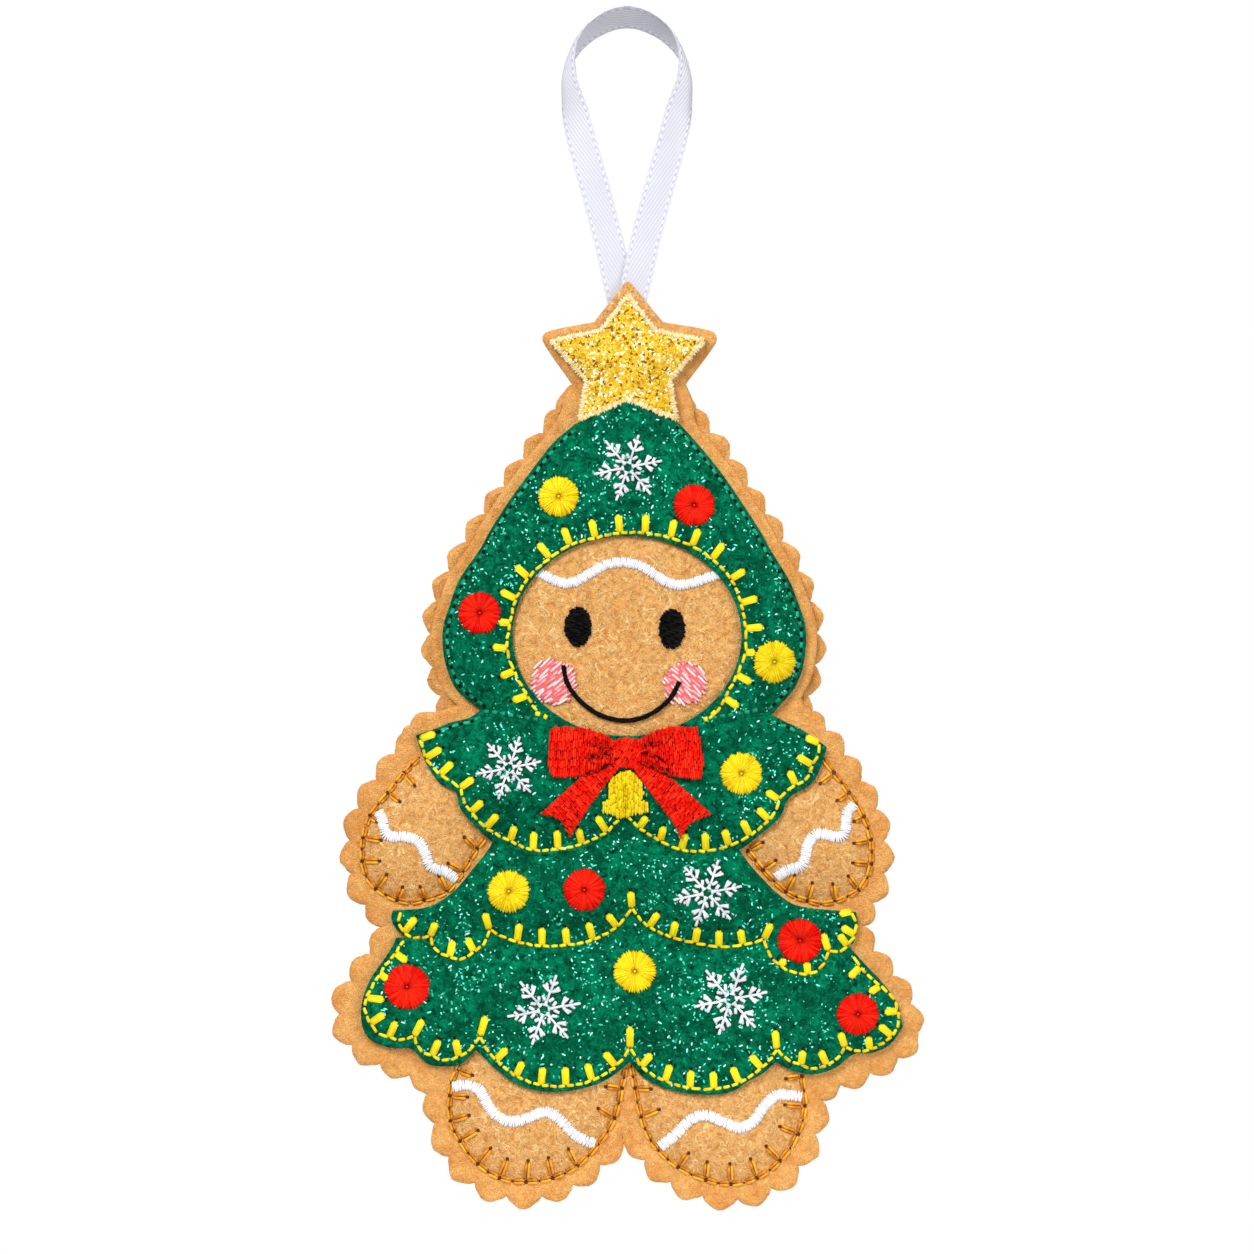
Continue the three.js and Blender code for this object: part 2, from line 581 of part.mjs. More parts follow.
// A line of thread with stitches that stand in from it
function blanket(line, lineWidth, pitch, length, width, side) {
  const bars = ticks(line, pitch, length, width, side).map((tick) => prism(tick));
  return join([bandPrism(line, lineWidth), ...bars]);
}

function edgeThreads() {
  const star = places(starShares);
  const starRing = prism(offsetOutline(star, -edgeStitchInset))
    .subtract(prism(offsetOutline(star, -edgeStitchInset - edgeStitchWidth)));
  frontLayer('star_edge_stitch', starRing, threadOnGlitter, threadThickness, creamThread);
  const running = {
    hood_running_stitch_left: edgeLine(hoodShares, 1, 14, runningStitchInset),
    hood_running_stitch_right: edgeLine(hoodShares, 22, 36, runningStitchInset),
    cape_running_stitch_left: edgeLine(capeShares, 0, 3, runningStitchInset),
    cape_running_stitch_right: edgeLine(capeShares, 28, 30, runningStitchInset),
  };
  Object.entries(running).forEach(([name, line]) => {
    frontLayer(name, bandPrism(line, runningStitchWidth), threadOnGlitter, threadThickness, greenThread);
  });
}

function yellowThreads() {
  const ring = Array.from({ length: faceSides + 1 }, (_, i) => {
    const degrees = THREE.MathUtils.lerp(faceStitchStart, faceStitchEnd, i / faceSides);
    const turn = THREE.MathUtils.degToRad(degrees);
    const [across, up] = [faceWidth / 2 + faceStitchOut, faceHeight / 2 + faceStitchOut];
    return new THREE.Vector2(faceCentre.x + across * Math.cos(turn), faceCentre.y + up * Math.sin(turn));
  });
  const lines = {
    cape_blanket_stitch: edgeLine(capeShares, 4, 27, blanketInset),
    upper_skirt_blanket_stitch: edgeLine(upperSkirtShares, 4, 32, blanketInset),
    lower_skirt_blanket_stitch: edgeLine(lowerSkirtShares, 1, 35, blanketInset),
  };
  const face = blanket(ring, blanketLineWidth, tickPitch, tickLength, tickWidth, -1);
  frontLayer('face_blanket_stitch', face, threadOnGlitter, threadThickness, yellowThread);
  Object.entries(lines).forEach(([name, line]) => {
    const body = blanket(line, blanketLineWidth, tickPitch, tickLength, tickWidth, 1);
    frontLayer(name, body, threadOnGlitter, threadThickness, yellowThread);
  });
}

function goldThreads() {
  const seams = {
    hand_stitch_left: [handLeft, 1],
    hand_stitch_right: [handRight, -1],
    foot_stitch_left: [footLeft, 1],
    foot_stitch_right: [footRight, 1],
  };
  Object.entries(seams).forEach(([name, [line, side]]) => {
    const body = blanket(line, goldLineWidth, goldTickPitch, goldTickLength, goldTickWidth, side);
    frontLayer(name, body, secondThreadOnFelt, threadThickness, goldThread);
  });
}

function icing() {
  const lines = {
    hand_icing_left: handIcingLeftShares,
    hand_icing_right: handIcingRightShares,
    foot_icing_left: footIcingLeftShares,
    foot_icing_right: footIcingRightShares,
  };
  Object.entries(lines).forEach(([name, shares]) => {
    frontLayer(name, bandPrism(places(shares), icingWidth), threadOnFelt, threadThickness, whiteThread);
  });
  const forehead = bandPrism(places(foreheadIcingShares), foreheadIcingWidth);
  frontLayer('forehead_icing', forehead, threadOnFelt, threadThickness, whiteThread);
}

function face() {
  Object.entries(eyePlaceShares).forEach(([name, at]) => {
    const oval = ellipse(place(at), eyeWidth, eyeHeight, discSides);
    frontLayer(name, prism(oval), threadOnFelt, threadThickness, blackThread);
  });
  Object.entries(cheekPlaceShares).forEach(([name, at]) => {
    const disc = ellipse(place(at), cheekDiameter, cheekDiameter, discSides);
    frontLayer(name, prism(disc), threadOnFelt, threadThickness, pinkThread);
  });
  const smile = bandPrism(places(smileShares), smileWidth);
  frontLayer('smile', smile, secondThreadOnFelt, threadThickness, blackThread);
}

function snowflake(centre) {
  const radius = snowflakeDiameter / 2;
  const along = (turn, length) => new THREE.Vector2(Math.cos(turn), Math.sin(turn)).multiplyScalar(length);
  const arms = Array.from({ length: snowflakeArms }, (_, i) => {
    const turn = THREE.MathUtils.degToRad(snowflakeTurnDegrees) + (i / snowflakeArms) * 2 * Math.PI;
    const arm = [stitch(centre, centre.clone().add(along(turn, radius)), snowflakeArmWidth)];
    for (const share of snowflakeBranchShares) {
      for (const side of [-1, 1]) {
        const root = centre.clone().add(along(turn, radius * share));
        const branch = along(turn + (side * Math.PI) / 4, radius * snowflakeBranchLengthShare);
        const tip = root.clone().add(branch);
        arm.push(stitch(root, tip, snowflakeArmWidth));
      }
    }
    return join(arm.map((piece) => prism(piece)));
  });
  return join(arms);
}

function trims() {
  Object.entries(baublePlaceShares).forEach(([name, at]) => {
    const look = name.endsWith('red') ? redThread : yellowThread;
    const disc = prism(ellipse(place(at), baubleDiameter, baubleDiameter, discSides));
    frontLayer(name, disc, secondThreadOnGlitter, threadThickness, look);
  });
  Object.entries(snowflakePlaceShares).forEach(([name, at]) => {
    frontLayer(name, snowflake(place(at)), secondThreadOnGlitter, threadThickness, whiteThread);
  });
  Object.entries(bowShares).forEach(([name, shares]) => {
    frontLayer(name, prism(places(shares)), secondThreadOnGlitter, threadThickness, redThread);
  });
  const tailCuts = ['bow_tail_left', 'bow_tail_right'].map((name) => {
    return prism(offsetOutline(places(bowShares[name]), layerGap));
  });
  const bell = prism(places(bellShares)).subtract(join(tailCuts));
  frontLayer('bell', bell, secondThreadOnGlitter, threadThickness, yellowThread);
}

function backSeam() {
  const edge = places(scallopNotchShares.filter((_, i) => i % 2 === 0));
  const outer = prism(offsetOutline(edge, -backSeamInset));
  const inner = prism(offsetOutline(edge, -backSeamInset - backStitchWidth));
  const level = seamHalfGap + feltThickness + layerGap;
  backLayer('back_seam_stitch', outer.subtract(inner), level, threadThickness, whiteThread);
}

// The ribbon hangs from its inner edge, so the loop's middle line starts above the origin.
const topTurn = THREE.MathUtils.degToRad(ribbonTurnShares[0][1]);
const loopCentreZ = (ribbonWidth / 2) * Math.cos(topTurn) - loopRadius;
const hingeZ = -hangLength + hingeHeight;
const legReach = Math.hypot(legSpacing / 2, loopCentreZ - hingeZ);
const legLean = Math.asin(loopRadius / legReach) - Math.atan2(legSpacing / 2, loopCentreZ - hingeZ);
const arcLength = loopRadius * (Math.PI / 2 + legLean);
const legLength = Math.sqrt(legReach ** 2 - loopRadius ** 2);
const halfLength = arcLength + legLength;

function ribbonTurn(share) {
  const next = ribbonTurnShares.findIndex(([at]) => at > share);
  if (next < 0) return 0;
  const [[low, from], [high, to]] = [ribbonTurnShares[next - 1], ribbonTurnShares[next]];
  return THREE.MathUtils.degToRad(from + ((to - from) * (share - low)) / (high - low));
}

// The four corners of the ribbon's section, a distance from the loop's top down the side -1 or 1
function ribbonSection(distance, side) {
  const arc = Math.min(distance, arcLength) / loopRadius;
  const rest = Math.max(distance - arcLength, 0);
  const outward = new THREE.Vector3(side * Math.sin(arc), 0, Math.cos(arc));
  const onward = new THREE.Vector3(side * Math.cos(arc), 0, -Math.sin(arc));
  const legShare = Math.min(rest / legLength, 1);
  const centre = new THREE.Vector3(0, -side * ribbonLegShift * legShare, loopCentreZ)
    .addScaledVector(outward, loopRadius).addScaledVector(onward, rest);
  const turn = ribbonTurn(distance / halfLength);
  const back = new THREE.Vector3(0, 1, 0);
  const across = outward.clone().multiplyScalar(Math.cos(turn)).addScaledVector(back, Math.sin(turn));
  const through = outward.clone().multiplyScalar(Math.sin(turn)).addScaledVector(back, -Math.cos(turn));
  return [[-1, -1], [1, -1], [1, 1], [-1, 1]].map(([a, t]) => centre.clone()
    .addScaledVector(across, (a * ribbonWidth) / 2).addScaledVector(through, (t * ribbonThickness) / 2));
}

// A closed strap through sections of four corners each, in order along it
function strap(sections) {
  const positions = sections.flat().flatMap((corner) => corner.toArray());
  const faces = [];
  for (let i = 0; i < sections.length - 1; i += 1) {
    for (let k = 0; k < 4; k += 1) {
      const [a, b] = [4 * i + k, 4 * i + ((k + 1) % 4)];
      faces.push(a, b, b + 4, a, b + 4, a + 4);
    }
  }
  const last = 4 * (sections.length - 1);
  faces.push(0, 2, 1, 0, 3, 2, last, last + 1, last + 2, last, last + 2, last + 3);
  const geometry = new THREE.BufferGeometry();
  geometry.setAttribute('position', new THREE.BufferAttribute(new Float32Array(positions), 3));
  geometry.setIndex(faces);
  return geometry;
}

function ribbon() {
  const arcPlaces = Array.from({ length: arcSteps }, (_, i) => (arcLength * i) / arcSteps);
  const legPlaces = Array.from({ length: legSteps + 1 }, (_, i) => {
    return arcLength + ((legLength - hingeClearance) * i) / legSteps;
  });
  const half = [...arcPlaces, ...legPlaces];
  const left = half.slice(1).reverse().map((distance) => ribbonSection(distance, -1));
  const right = half.map((distance) => ribbonSection(distance, 1));
  add('ribbon_loop', solid(strap([...left, ...right])), satin);
  for (const [name, side] of [['ribbon_tail_left', -1], ['ribbon_tail_right', 1]]) {
    const ends = [halfLength + hingeClearance, halfLength + tailLength];
    const sections = ends.map((distance) => ribbonSection(distance, side));
    add(name, solid(strap(side > 0 ? sections : sections.reverse())), satin);
  }
}

feltBody();
inside();
glitterPieces();
edgeThreads();
yellowThreads();
goldThreads();
icing();
face();
trims();
backSeam();
ribbon();

export default group;
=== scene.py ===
import math
import random

import bpy
import numpy as np
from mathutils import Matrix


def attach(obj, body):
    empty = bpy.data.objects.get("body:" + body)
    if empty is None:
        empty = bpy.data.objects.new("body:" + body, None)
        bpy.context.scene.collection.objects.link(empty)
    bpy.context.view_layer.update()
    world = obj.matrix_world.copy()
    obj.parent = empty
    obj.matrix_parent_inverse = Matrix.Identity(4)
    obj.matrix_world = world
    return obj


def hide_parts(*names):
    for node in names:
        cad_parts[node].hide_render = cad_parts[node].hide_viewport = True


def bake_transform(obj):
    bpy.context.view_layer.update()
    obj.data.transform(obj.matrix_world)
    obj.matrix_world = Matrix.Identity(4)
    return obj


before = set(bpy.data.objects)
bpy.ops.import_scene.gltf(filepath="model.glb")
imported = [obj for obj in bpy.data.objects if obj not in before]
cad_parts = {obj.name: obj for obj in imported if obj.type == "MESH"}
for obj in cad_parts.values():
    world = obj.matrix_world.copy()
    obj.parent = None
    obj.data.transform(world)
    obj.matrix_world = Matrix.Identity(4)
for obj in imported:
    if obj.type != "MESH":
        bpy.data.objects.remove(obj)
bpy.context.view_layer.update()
random.seed(24)

# Sizes in metres. Places are in picture dots, six to the millimetre, from the picture's top left.
MM = 0.001
DOT = MM / 6
PICTURE = 1254
# The column of the ornament's middle, and the row of the point that it hangs from
MIDDLE, HANG = 627, 27
# How far the tan felt's and the glitter felts' faces lie from the middle plane where nothing swells
TAN_FACE, GREEN_FACE = 1.65 * MM, 2.65 * MM
FELT, GLITTER, PAD = 1.2 * MM, 0.8 * MM, 0.9 * MM
FELT_GRID, PAD_GRID = 0.8 * MM, 3 * MM
# The steps in and forward by which a cut edge is rounded
TAN_RIM = [(0.14 * MM, 0.2 * MM), (0.3 * MM, 0.2 * MM), (0.4 * MM, 0.08 * MM)]
GREEN_RIM = [(0.1 * MM, 0.12 * MM), (0.22 * MM, 0.08 * MM)]
# How far the filling swells each side, how far from a seam it is full, and where a seam is looked for
FRONT_LOFT, BACK_LOFT, LOFT_WIDTH, SEAM_PROBE = 2.6 * MM, 2.4 * MM, 9 * MM, 0.9 * MM
# How deep stitches draw the felt in, how far its margin is pressed flat, and how far the very edge falls
TUCK, PRESS, MARGIN_FALL = 0.34 * MM, 0.33 * MM, 0.14 * MM
# How wide a tuck is on the front and on the back, and how wide the edge falls
TUCK_REACH, BACK_TUCK_REACH, FALL_REACH = 1.1 * MM, 1.3 * MM, 1.3 * MM
# The camera's distance, the sky's strength, the floor's height, and each lamp's place, size and power
CAMERA, SKY, FLOOR = 1.0, 0.44, -0.2158
LAMPS = [((-0.45, -0.8, 0.6), 0.45, 12.5), ((0.75, -0.6, 0.0), 0.6, 4.5), ((0.2, 0.9, 0.4), 0.7, 8.0)]
# Bar stitches and dashes in dots, strands in a bauble, a glitter cluster's spread, a scallop's roundness
BAR_WIDTH, BAR_STRANDS = 7.2, 5
BLANKET_DASH, GOLD_DASH = 9.8, 14
BAUBLE_STRANDS = 92
CLUSTER = 8 * DOT
ROUNDNESS = 0.6


def at(x, y):
    return (x - MIDDLE) * DOT, (HANG - y) * DOT


EYE_LEVEL = at(MIDDLE, PICTURE / 2)[1]


def set_camera():
    bpy.ops.object.camera_add(location=(0, -CAMERA, EYE_LEVEL), rotation=(math.pi / 2, 0, 0))
    camera = bpy.context.object
    camera.data.sensor_width = 36
    camera.data.lens = 36 * CAMERA / (PICTURE * DOT)
    camera.data.clip_end = 20
    bpy.context.scene.camera = camera


set_camera()

# Outlines, in picture dots
STAR_BORDER = [
    (686, 384), (716, 343), (716, 335), (710, 330.5), (663, 322), (634, 287), (628, 281), (622, 287),
    (594, 322), (549, 331), (542.5, 336), (544, 344), (572, 384.5),
]
STAR = [
    (628, 292), (600, 328), (547.5, 340), (584, 381), (577, 423.5), (627.5, 401.5), (679, 422.5), (672, 381),
    (708, 339), (657, 329),
]
HOOD = [
    (627, 401), (575, 424), (554, 442), (531, 471), (509, 501), (491, 529), (480, 549), (459, 580),
    (451, 601), (443, 628), (443, 651), (447, 669), (454, 686), (464, 697), (482, 710), (505, 717),
    (545, 727), (585, 738), (627, 742), (669, 738), (708, 728), (740, 720), (769, 716), (780, 705),
    (792, 692), (799, 679), (803, 667), (806, 645), (805, 624), (796, 597), (789, 580), (770, 549),
    (759, 529), (746, 509), (726.5, 480), (704, 451), (680, 424),
]
CAPE = [
    (482, 711), (469, 718), (452, 722), (437, 728), (420, 737), (428, 759), (442, 780), (459, 790),
    (463, 806), (476.5, 822), (496, 839.5), (524, 850), (549, 852), (585, 845), (616, 826.5), (625, 814),
    (637, 828), (661, 843), (687, 850), (713, 852), (739, 850), (760.5, 834), (780, 817), (789, 798),
    (808, 782), (817, 767), (823, 748), (819, 741), (799, 728), (788, 723), (769, 717), (740, 721),
    (708, 729), (669, 739), (627, 743), (585, 739), (545, 728), (505, 718),
]
UPPER_SKIRT = [
    (494, 839), (488, 850), (475, 866), (455, 890), (429, 906.5), (393, 910.5), (391, 918), (396, 929),
    (407, 936), (428, 937.5), (431, 945), (441, 956), (454, 960), (472, 956), (487, 941), (491, 931),
    (511, 942), (537, 946), (558.5, 946), (591, 940), (619, 927), (632, 910), (639, 921), (665, 937.5),
    (698, 947), (730, 949), (760.5, 941), (767, 947), (786.5, 969), (808, 974), (824, 967), (830, 952),
    (854, 943), (858, 923), (856, 912), (797, 905.5), (776, 892), (765, 881), (751, 866), (740, 851),
]
LOWER_SKIRT = [
    (396, 937.5), (392, 947), (382, 962), (371, 978), (363, 998), (361, 1019), (368, 1037.5),
    (390, 1048), (411, 1049), (428, 1064), (446, 1066.5), (461, 1064), (476, 1050), (496, 1069),
    (519, 1085), (549, 1092), (580, 1089), (607, 1079.5), (630, 1062), (642, 1076), (665, 1088),
    (704, 1095), (733, 1091), (749, 1081), (762, 1074), (776, 1062), (791, 1070), (812.5, 1074.5),
    (836, 1067.5), (854, 1054), (872, 1053), (890, 1044.5), (903, 1027), (897, 1003), (881, 981),
    (864, 963), (847, 944),
]
# The notches of the scalloped edge, and how far each scallop bulges at sixths of its width
# A scratch script traced these two tables on the photograph, so they weren't chosen by hand
NOTCHES = [
    (572, 384.5), (555.5, 409), (543, 433), (523.5, 459), (504, 486.5), (484.5, 514), (466, 542), (449, 571),
    (436, 601), (430, 634), (432.5, 667), (440.5, 696), (436, 712.5), (410, 725), (394.5, 754), (376, 779.5),
    (358.5, 808), (349.5, 840), (350.5, 873.5), (365.5, 905), (380, 927), (370, 953.5), (351, 980.5),
    (339, 1014), (352, 1045.5), (380, 1064), (409.5, 1075.5), (426.5, 1094), (434.5, 1123.5), (448.5, 1157),
    (474.5, 1183), (506.5, 1196.5), (542, 1196.5), (573, 1185), (600, 1165), (623.5, 1143), (644.5, 1160),
    (670.5, 1182), (702, 1196), (737.5, 1199.5), (771, 1188.5), (798.5, 1166), (815.5, 1134.5), (823, 1101),
    (840.5, 1085), (870, 1073), (898, 1058), (918.5, 1032.5), (910.5, 1003.5), (892.5, 975.5), (873.5, 951),
    (864.5, 926), (873, 903), (884, 873.5), (884, 841), (876, 809), (861, 781), (844, 755), (826, 730.5),
    (812.5, 711), (808, 696), (815, 665), (816.5, 633), (810.5, 601), (798, 571), (782, 541.5), (765, 514),
    (747.5, 486.5), (729, 459), (710, 433), (696.5, 408.5), (686, 384),
]
LOBES = [
    (2.5, 2.5, 3, 3.5, 2.5), (4, 6, 5.5, 4, 2), (5, 8, 10, 8, 4), (4.5, 8, 9.5, 8, 4), (5, 8, 10, 8, 4.5),
    (5, 8, 10, 8, 4.5), (5, 8, 10, 9, 4.5), (5, 9, 11, 9, 5), (5.5, 9.5, 11, 9, 5), (5, 9, 10.5, 9, 4.5),
    (4.5, 8.5, 9, 8, 5), (0.5, 1.5, 2, 2, 1), (3, 5, 7, 7, 4.5), (4, 3.5, 5, 4.5, 2), (5.5, 8, 9, 7.5, 4),
    (5, 9.5, 10, 8.5, 5), (6.5, 10, 11, 9.5, 6), (5.5, 9, 10.5, 10, 5), (6, 10, 12, 11, 7),
    (3, 6, 6.5, 6, 3.5), (3, 5.5, 5.5, 5, 2), (5, 9, 10, 9, 6), (7, 12, 13, 12.5, 9), (7.5, 12, 14, 12, 8),
    (7, 10, 12, 9.5, 5), (5.5, 8, 9.5, 7.5, 4), (2, 4, 5, 4, 2), (4, 7, 8, 7, 4), (5, 9, 11, 11, 7),
    (6, 11, 13.5, 11, 7), (7, 11.5, 12.5, 11, 6), (7, 12, 13, 11, 6.5), (6, 10, 11, 10, 6),
    (6, 10, 11, 10, 6), (5, 8, 9, 8, 5), (2.5, 5, 6, 5, 3), (6, 10, 12, 10, 5.5), (6, 10, 11.5, 10, 5),
    (7, 11, 13, 11.5, 7), (7.5, 11, 13, 11, 7), (8, 11.5, 13, 12, 7), (7, 10, 13, 11, 7),
    (5.5, 9, 10.5, 8.5, 5.5), (3, 5, 5.5, 4, 2), (5, 9, 10, 9, 5), (6, 9, 10, 9.5, 5), (6.5, 10, 11, 9, 3.5),
    (5, 9, 9, 7.5, 4), (6, 9, 10.5, 9, 5), (5, 8, 9, 8, 4.5), (2.5, 5, 6, 6, 3.5), (5, 7, 7, 6, 3.5),
    (6, 10, 11, 9, 5.5), (5.5, 9, 11, 9, 5.5), (5.5, 9, 10.5, 9, 6), (5, 8.5, 9.5, 9, 5), (4, 8, 9.5, 9, 5),
    (4.5, 8, 9, 9, 5), (2, 4.5, 6, 5.5, 4), (1, 1.5, 1.5, 1, 1), (5, 8.5, 10, 8.5, 5), (6, 9, 11, 9.5, 6),
    (5, 9, 10.5, 9, 5), (4, 8.5, 10, 9, 5), (4.5, 9, 10, 8.5, 5), (5, 8, 10, 8.5, 5), (4, 7.5, 9, 8, 4),
    (4, 7.5, 9, 8, 5), (5, 9, 10, 9, 5), (2, 5, 6, 6, 3.5), (1, 0, 0, 0, 0),
]
# The notches where the neck's band meets the scallops
NECK_LEFT, NECK_RIGHT = 12, 59
# The part that is filled
CORE = [
    (627, 457), (568, 513), (512, 587), (485, 640), (506, 680), (529, 722), (494, 754), (500, 800),
    (514, 847), (517, 893), (467, 944), (423, 991), (411, 1009), (438, 1019), (485, 1014), (520, 1046),
    (575, 1046), (628, 1023), (685, 1046), (739, 1046), (775, 1019), (822, 1023), (849, 1009),
    (837, 991), (793, 944), (742, 893), (731, 847), (752, 800), (760, 754), (725, 722), (748, 680),
    (766, 640), (742, 587), (686, 513),
]
# The face opening, from its middle, in dots and square dots
FACE_MIDDLE, FACE_SIZE = (627, 636), (114.5, 100)
FACE_AREA = math.pi * FACE_SIZE[0] * FACE_SIZE[1]

# Stitch lines: a place on the line, and after it the far end of the bar stitch that stands there, if one does
FACE_LINE = [
    (708, 719), (718, 711), (725, 698, 739, 707.5), (737, 675, 752, 683), (745.5, 652.6, 756, 652.6),
    (745.5, 628.5, 764, 627), (741, 603, 758, 598), (731, 579, 745.5, 570), (712, 559, 724, 543),
    (692, 546, 699, 528.5), (670.5, 538, 674.5, 519), (645, 533, 646, 514), (620, 533, 618, 514),
    (595.5, 538, 591, 519), (570, 545, 563, 527), (550, 558, 538, 543), (528.5, 577.6, 515, 565.5),
    (516, 599, 500, 591), (510, 623, 498, 622), (507, 648.6, 492, 647), (514, 671, 500, 677),
    (527, 695.5, 512, 701), (537, 712),
]
CAPE_LINE = [
    (420, 739, 436, 733), (426, 758, 442, 748), (440, 774.5, 453, 762), (460, 788, 474, 778), (464, 802),
    (471, 812, 483, 801), (486, 828, 498, 814), (510, 841, 515, 825.5), (533, 850, 534, 831),
    (558, 849, 557, 830), (582, 844, 578, 828), (607, 832, 596.5, 816), (618, 820), (625, 814),
    (631, 820), (639, 828, 647, 816), (660, 841, 664, 826), (681, 850, 686, 833), (706, 851, 705, 832),
    (729, 846, 724, 829), (750, 835.5, 742, 820), (769, 820, 757, 808), (777, 809), (779, 800, 766, 791),
    (786, 791), (796, 785, 789, 770.5), (807, 779), (812.5, 765, 797, 756), (820, 751), (819, 743, 805, 737),
]
UPPER_LINE = [
    (400, 911), (399, 924), (404, 933, 416, 917), (414, 938), (430, 936.5, 436, 922), (435, 951),
    (449.5, 957, 453, 940), (462, 959.5), (474, 951.5, 466.5, 937.5), (485, 943),
    (489.5, 929.5, 484.5, 912.5), (503, 937), (517, 942, 519.5, 923), (542, 946, 542, 927),
    (567, 945, 565, 927), (593, 940, 588, 922), (617, 927, 607, 914), (625, 918), (632, 908, 630.5, 891),
    (639, 918), (649, 927, 658.5, 912.5), (672, 937.5, 676, 921), (695, 943, 698, 927),
    (719, 947, 719, 930), (743, 945, 740, 929), (764, 939.5, 771.5, 923), (768, 952),
    (779.6, 965.7, 786, 959), (793, 972), (808, 974.5, 806.7, 961.5), (820, 969), (827, 957),
    (828.5, 950.5, 822.5, 933), (840, 952.5), (847.5, 945.6, 838.7, 934), (855, 935, 841, 926.6),
    (856, 925), (851.7, 911.5, 838.5, 914),
]
LOWER_LINE = [
    (404, 940), (395.5, 953, 407.5, 962), (384, 967.5), (380, 974, 388.5, 980), (370, 990),
    (366.5, 997.7, 385, 1000), (364.5, 1010), (370.3, 1023.4, 385, 1013.5), (379, 1034),
    (389, 1037.5, 396, 1021), (402, 1040), (414, 1036, 423, 1019), (419.6, 1049.6),
    (432, 1056, 439, 1039.6), (445, 1060.5), (459, 1056.6, 455, 1039), (470, 1050),
    (480, 1036, 486, 1015.5), (487, 1050), (496, 1060, 507.5, 1048), (516, 1076, 523, 1061),
    (541, 1085, 543, 1066.5), (566, 1086, 565, 1066.5), (592, 1080.5, 587, 1063),
    (616, 1066.5, 604, 1052), (625, 1055), (630, 1048, 630, 1026), (635, 1055), (641, 1066.5, 652, 1053.5),
    (665, 1081, 670.5, 1064), (690, 1088, 691, 1070), (714, 1089, 713, 1071), (739, 1083, 732, 1066.5),
    (761.5, 1068, 750, 1055), (770, 1060), (777, 1049, 775, 1030), (785, 1058), (801, 1065, 803, 1050),
    (813, 1069), (827, 1065, 820, 1050), (838, 1058), (845, 1047, 840, 1032), (857, 1051),
    (870, 1050, 868, 1036), (892, 1036, 879, 1025), (899, 1022), (898, 1011, 884, 1012), (892, 996),
    (880, 986, 869, 993), (860, 967, 849, 978), (853, 955),
]
HAND_LEFT = [
    (419, 758), (404, 773, 414, 785), (388, 793, 399, 801), (370, 816, 376, 821), (363, 838, 380, 840),
    (362, 861, 378.5, 861), (366, 876), (376, 889, 386, 875.5), (397, 900, 402, 888), (410, 903),
    (424, 900, 420.5, 888), (447, 892, 439.5, 877), (463, 872, 449, 864), (477, 849, 465, 838), (486, 837),
]
HAND_RIGHT = [
    (822, 757), (834, 773, 821, 783), (849, 793, 838, 800), (864, 817, 855, 821), (871, 840, 855, 843),
    (871.5, 864, 854, 863), (868, 877), (859, 890, 849, 877), (835, 902, 833, 885), (820, 904),
    (807, 901, 812, 884), (786, 892, 794, 876), (775, 882), (763, 870, 775, 861), (748, 851, 762, 843),
]
FOOT_LEFT = [
    (459, 1064), (457, 1070.5, 471.5, 1075), (451, 1083), (449.8, 1096, 466.5, 1097),
    (450.5, 1121, 468, 1115.7), (460, 1141, 477, 1131), (478, 1164, 490, 1149), (499.5, 1178, 507, 1160),
    (526, 1182, 528, 1162), (552.5, 1178, 548.6, 1159), (577, 1166, 569, 1150), (602, 1140),
    (614.5, 1118, 599, 1109), (622, 1088, 607, 1087), (626, 1067),
]
FOOT_RIGHT = [
    (631, 1066), (635, 1088, 650, 1089), (641, 1117, 658, 1110), (653, 1144), (678, 1167, 688, 1154),
    (706, 1180, 707, 1163), (731, 1184, 730, 1165), (757, 1178, 751, 1160), (780, 1161, 767, 1147),
    (798, 1134, 781, 1127), (805, 1106, 786, 1105), (802, 1076, 787, 1078.5),
]
ICING = {
    "hand_icing_left": [(378, 811), (383, 822), (387, 835), (406, 837), (418, 841), (426, 855),
                        (431, 867), (446.5, 872), (457, 880)],
    "hand_icing_right": [(855, 804), (847, 813), (846, 826), (841, 837), (817, 834), (808, 845),
                         (802, 865), (786.5, 871), (776, 878)],
    "foot_icing_left": [(452, 1087), (467, 1085), (480, 1091), (491, 1110), (506.5, 1121), (522, 1120),
                        (545.5, 1112), (558.5, 1118.5), (576, 1136), (595, 1144.5)],
    "foot_icing_right": [(660, 1147), (674, 1136), (689, 1121), (704, 1115), (721, 1121), (739, 1128),
                         (754, 1121), (765, 1105.5), (778, 1095), (802, 1097)],
    "forehead_icing": [(533, 571), (544, 575), (558, 582), (572, 583), (590, 573.5), (606, 564.8),
                       (625, 562.5), (645, 568.2), (662, 579.5), (677, 585), (694, 582.5), (710, 577),
                       (722, 573)],
}
EYES = {"eye_left": (578, 627), "eye_right": (672, 629)}
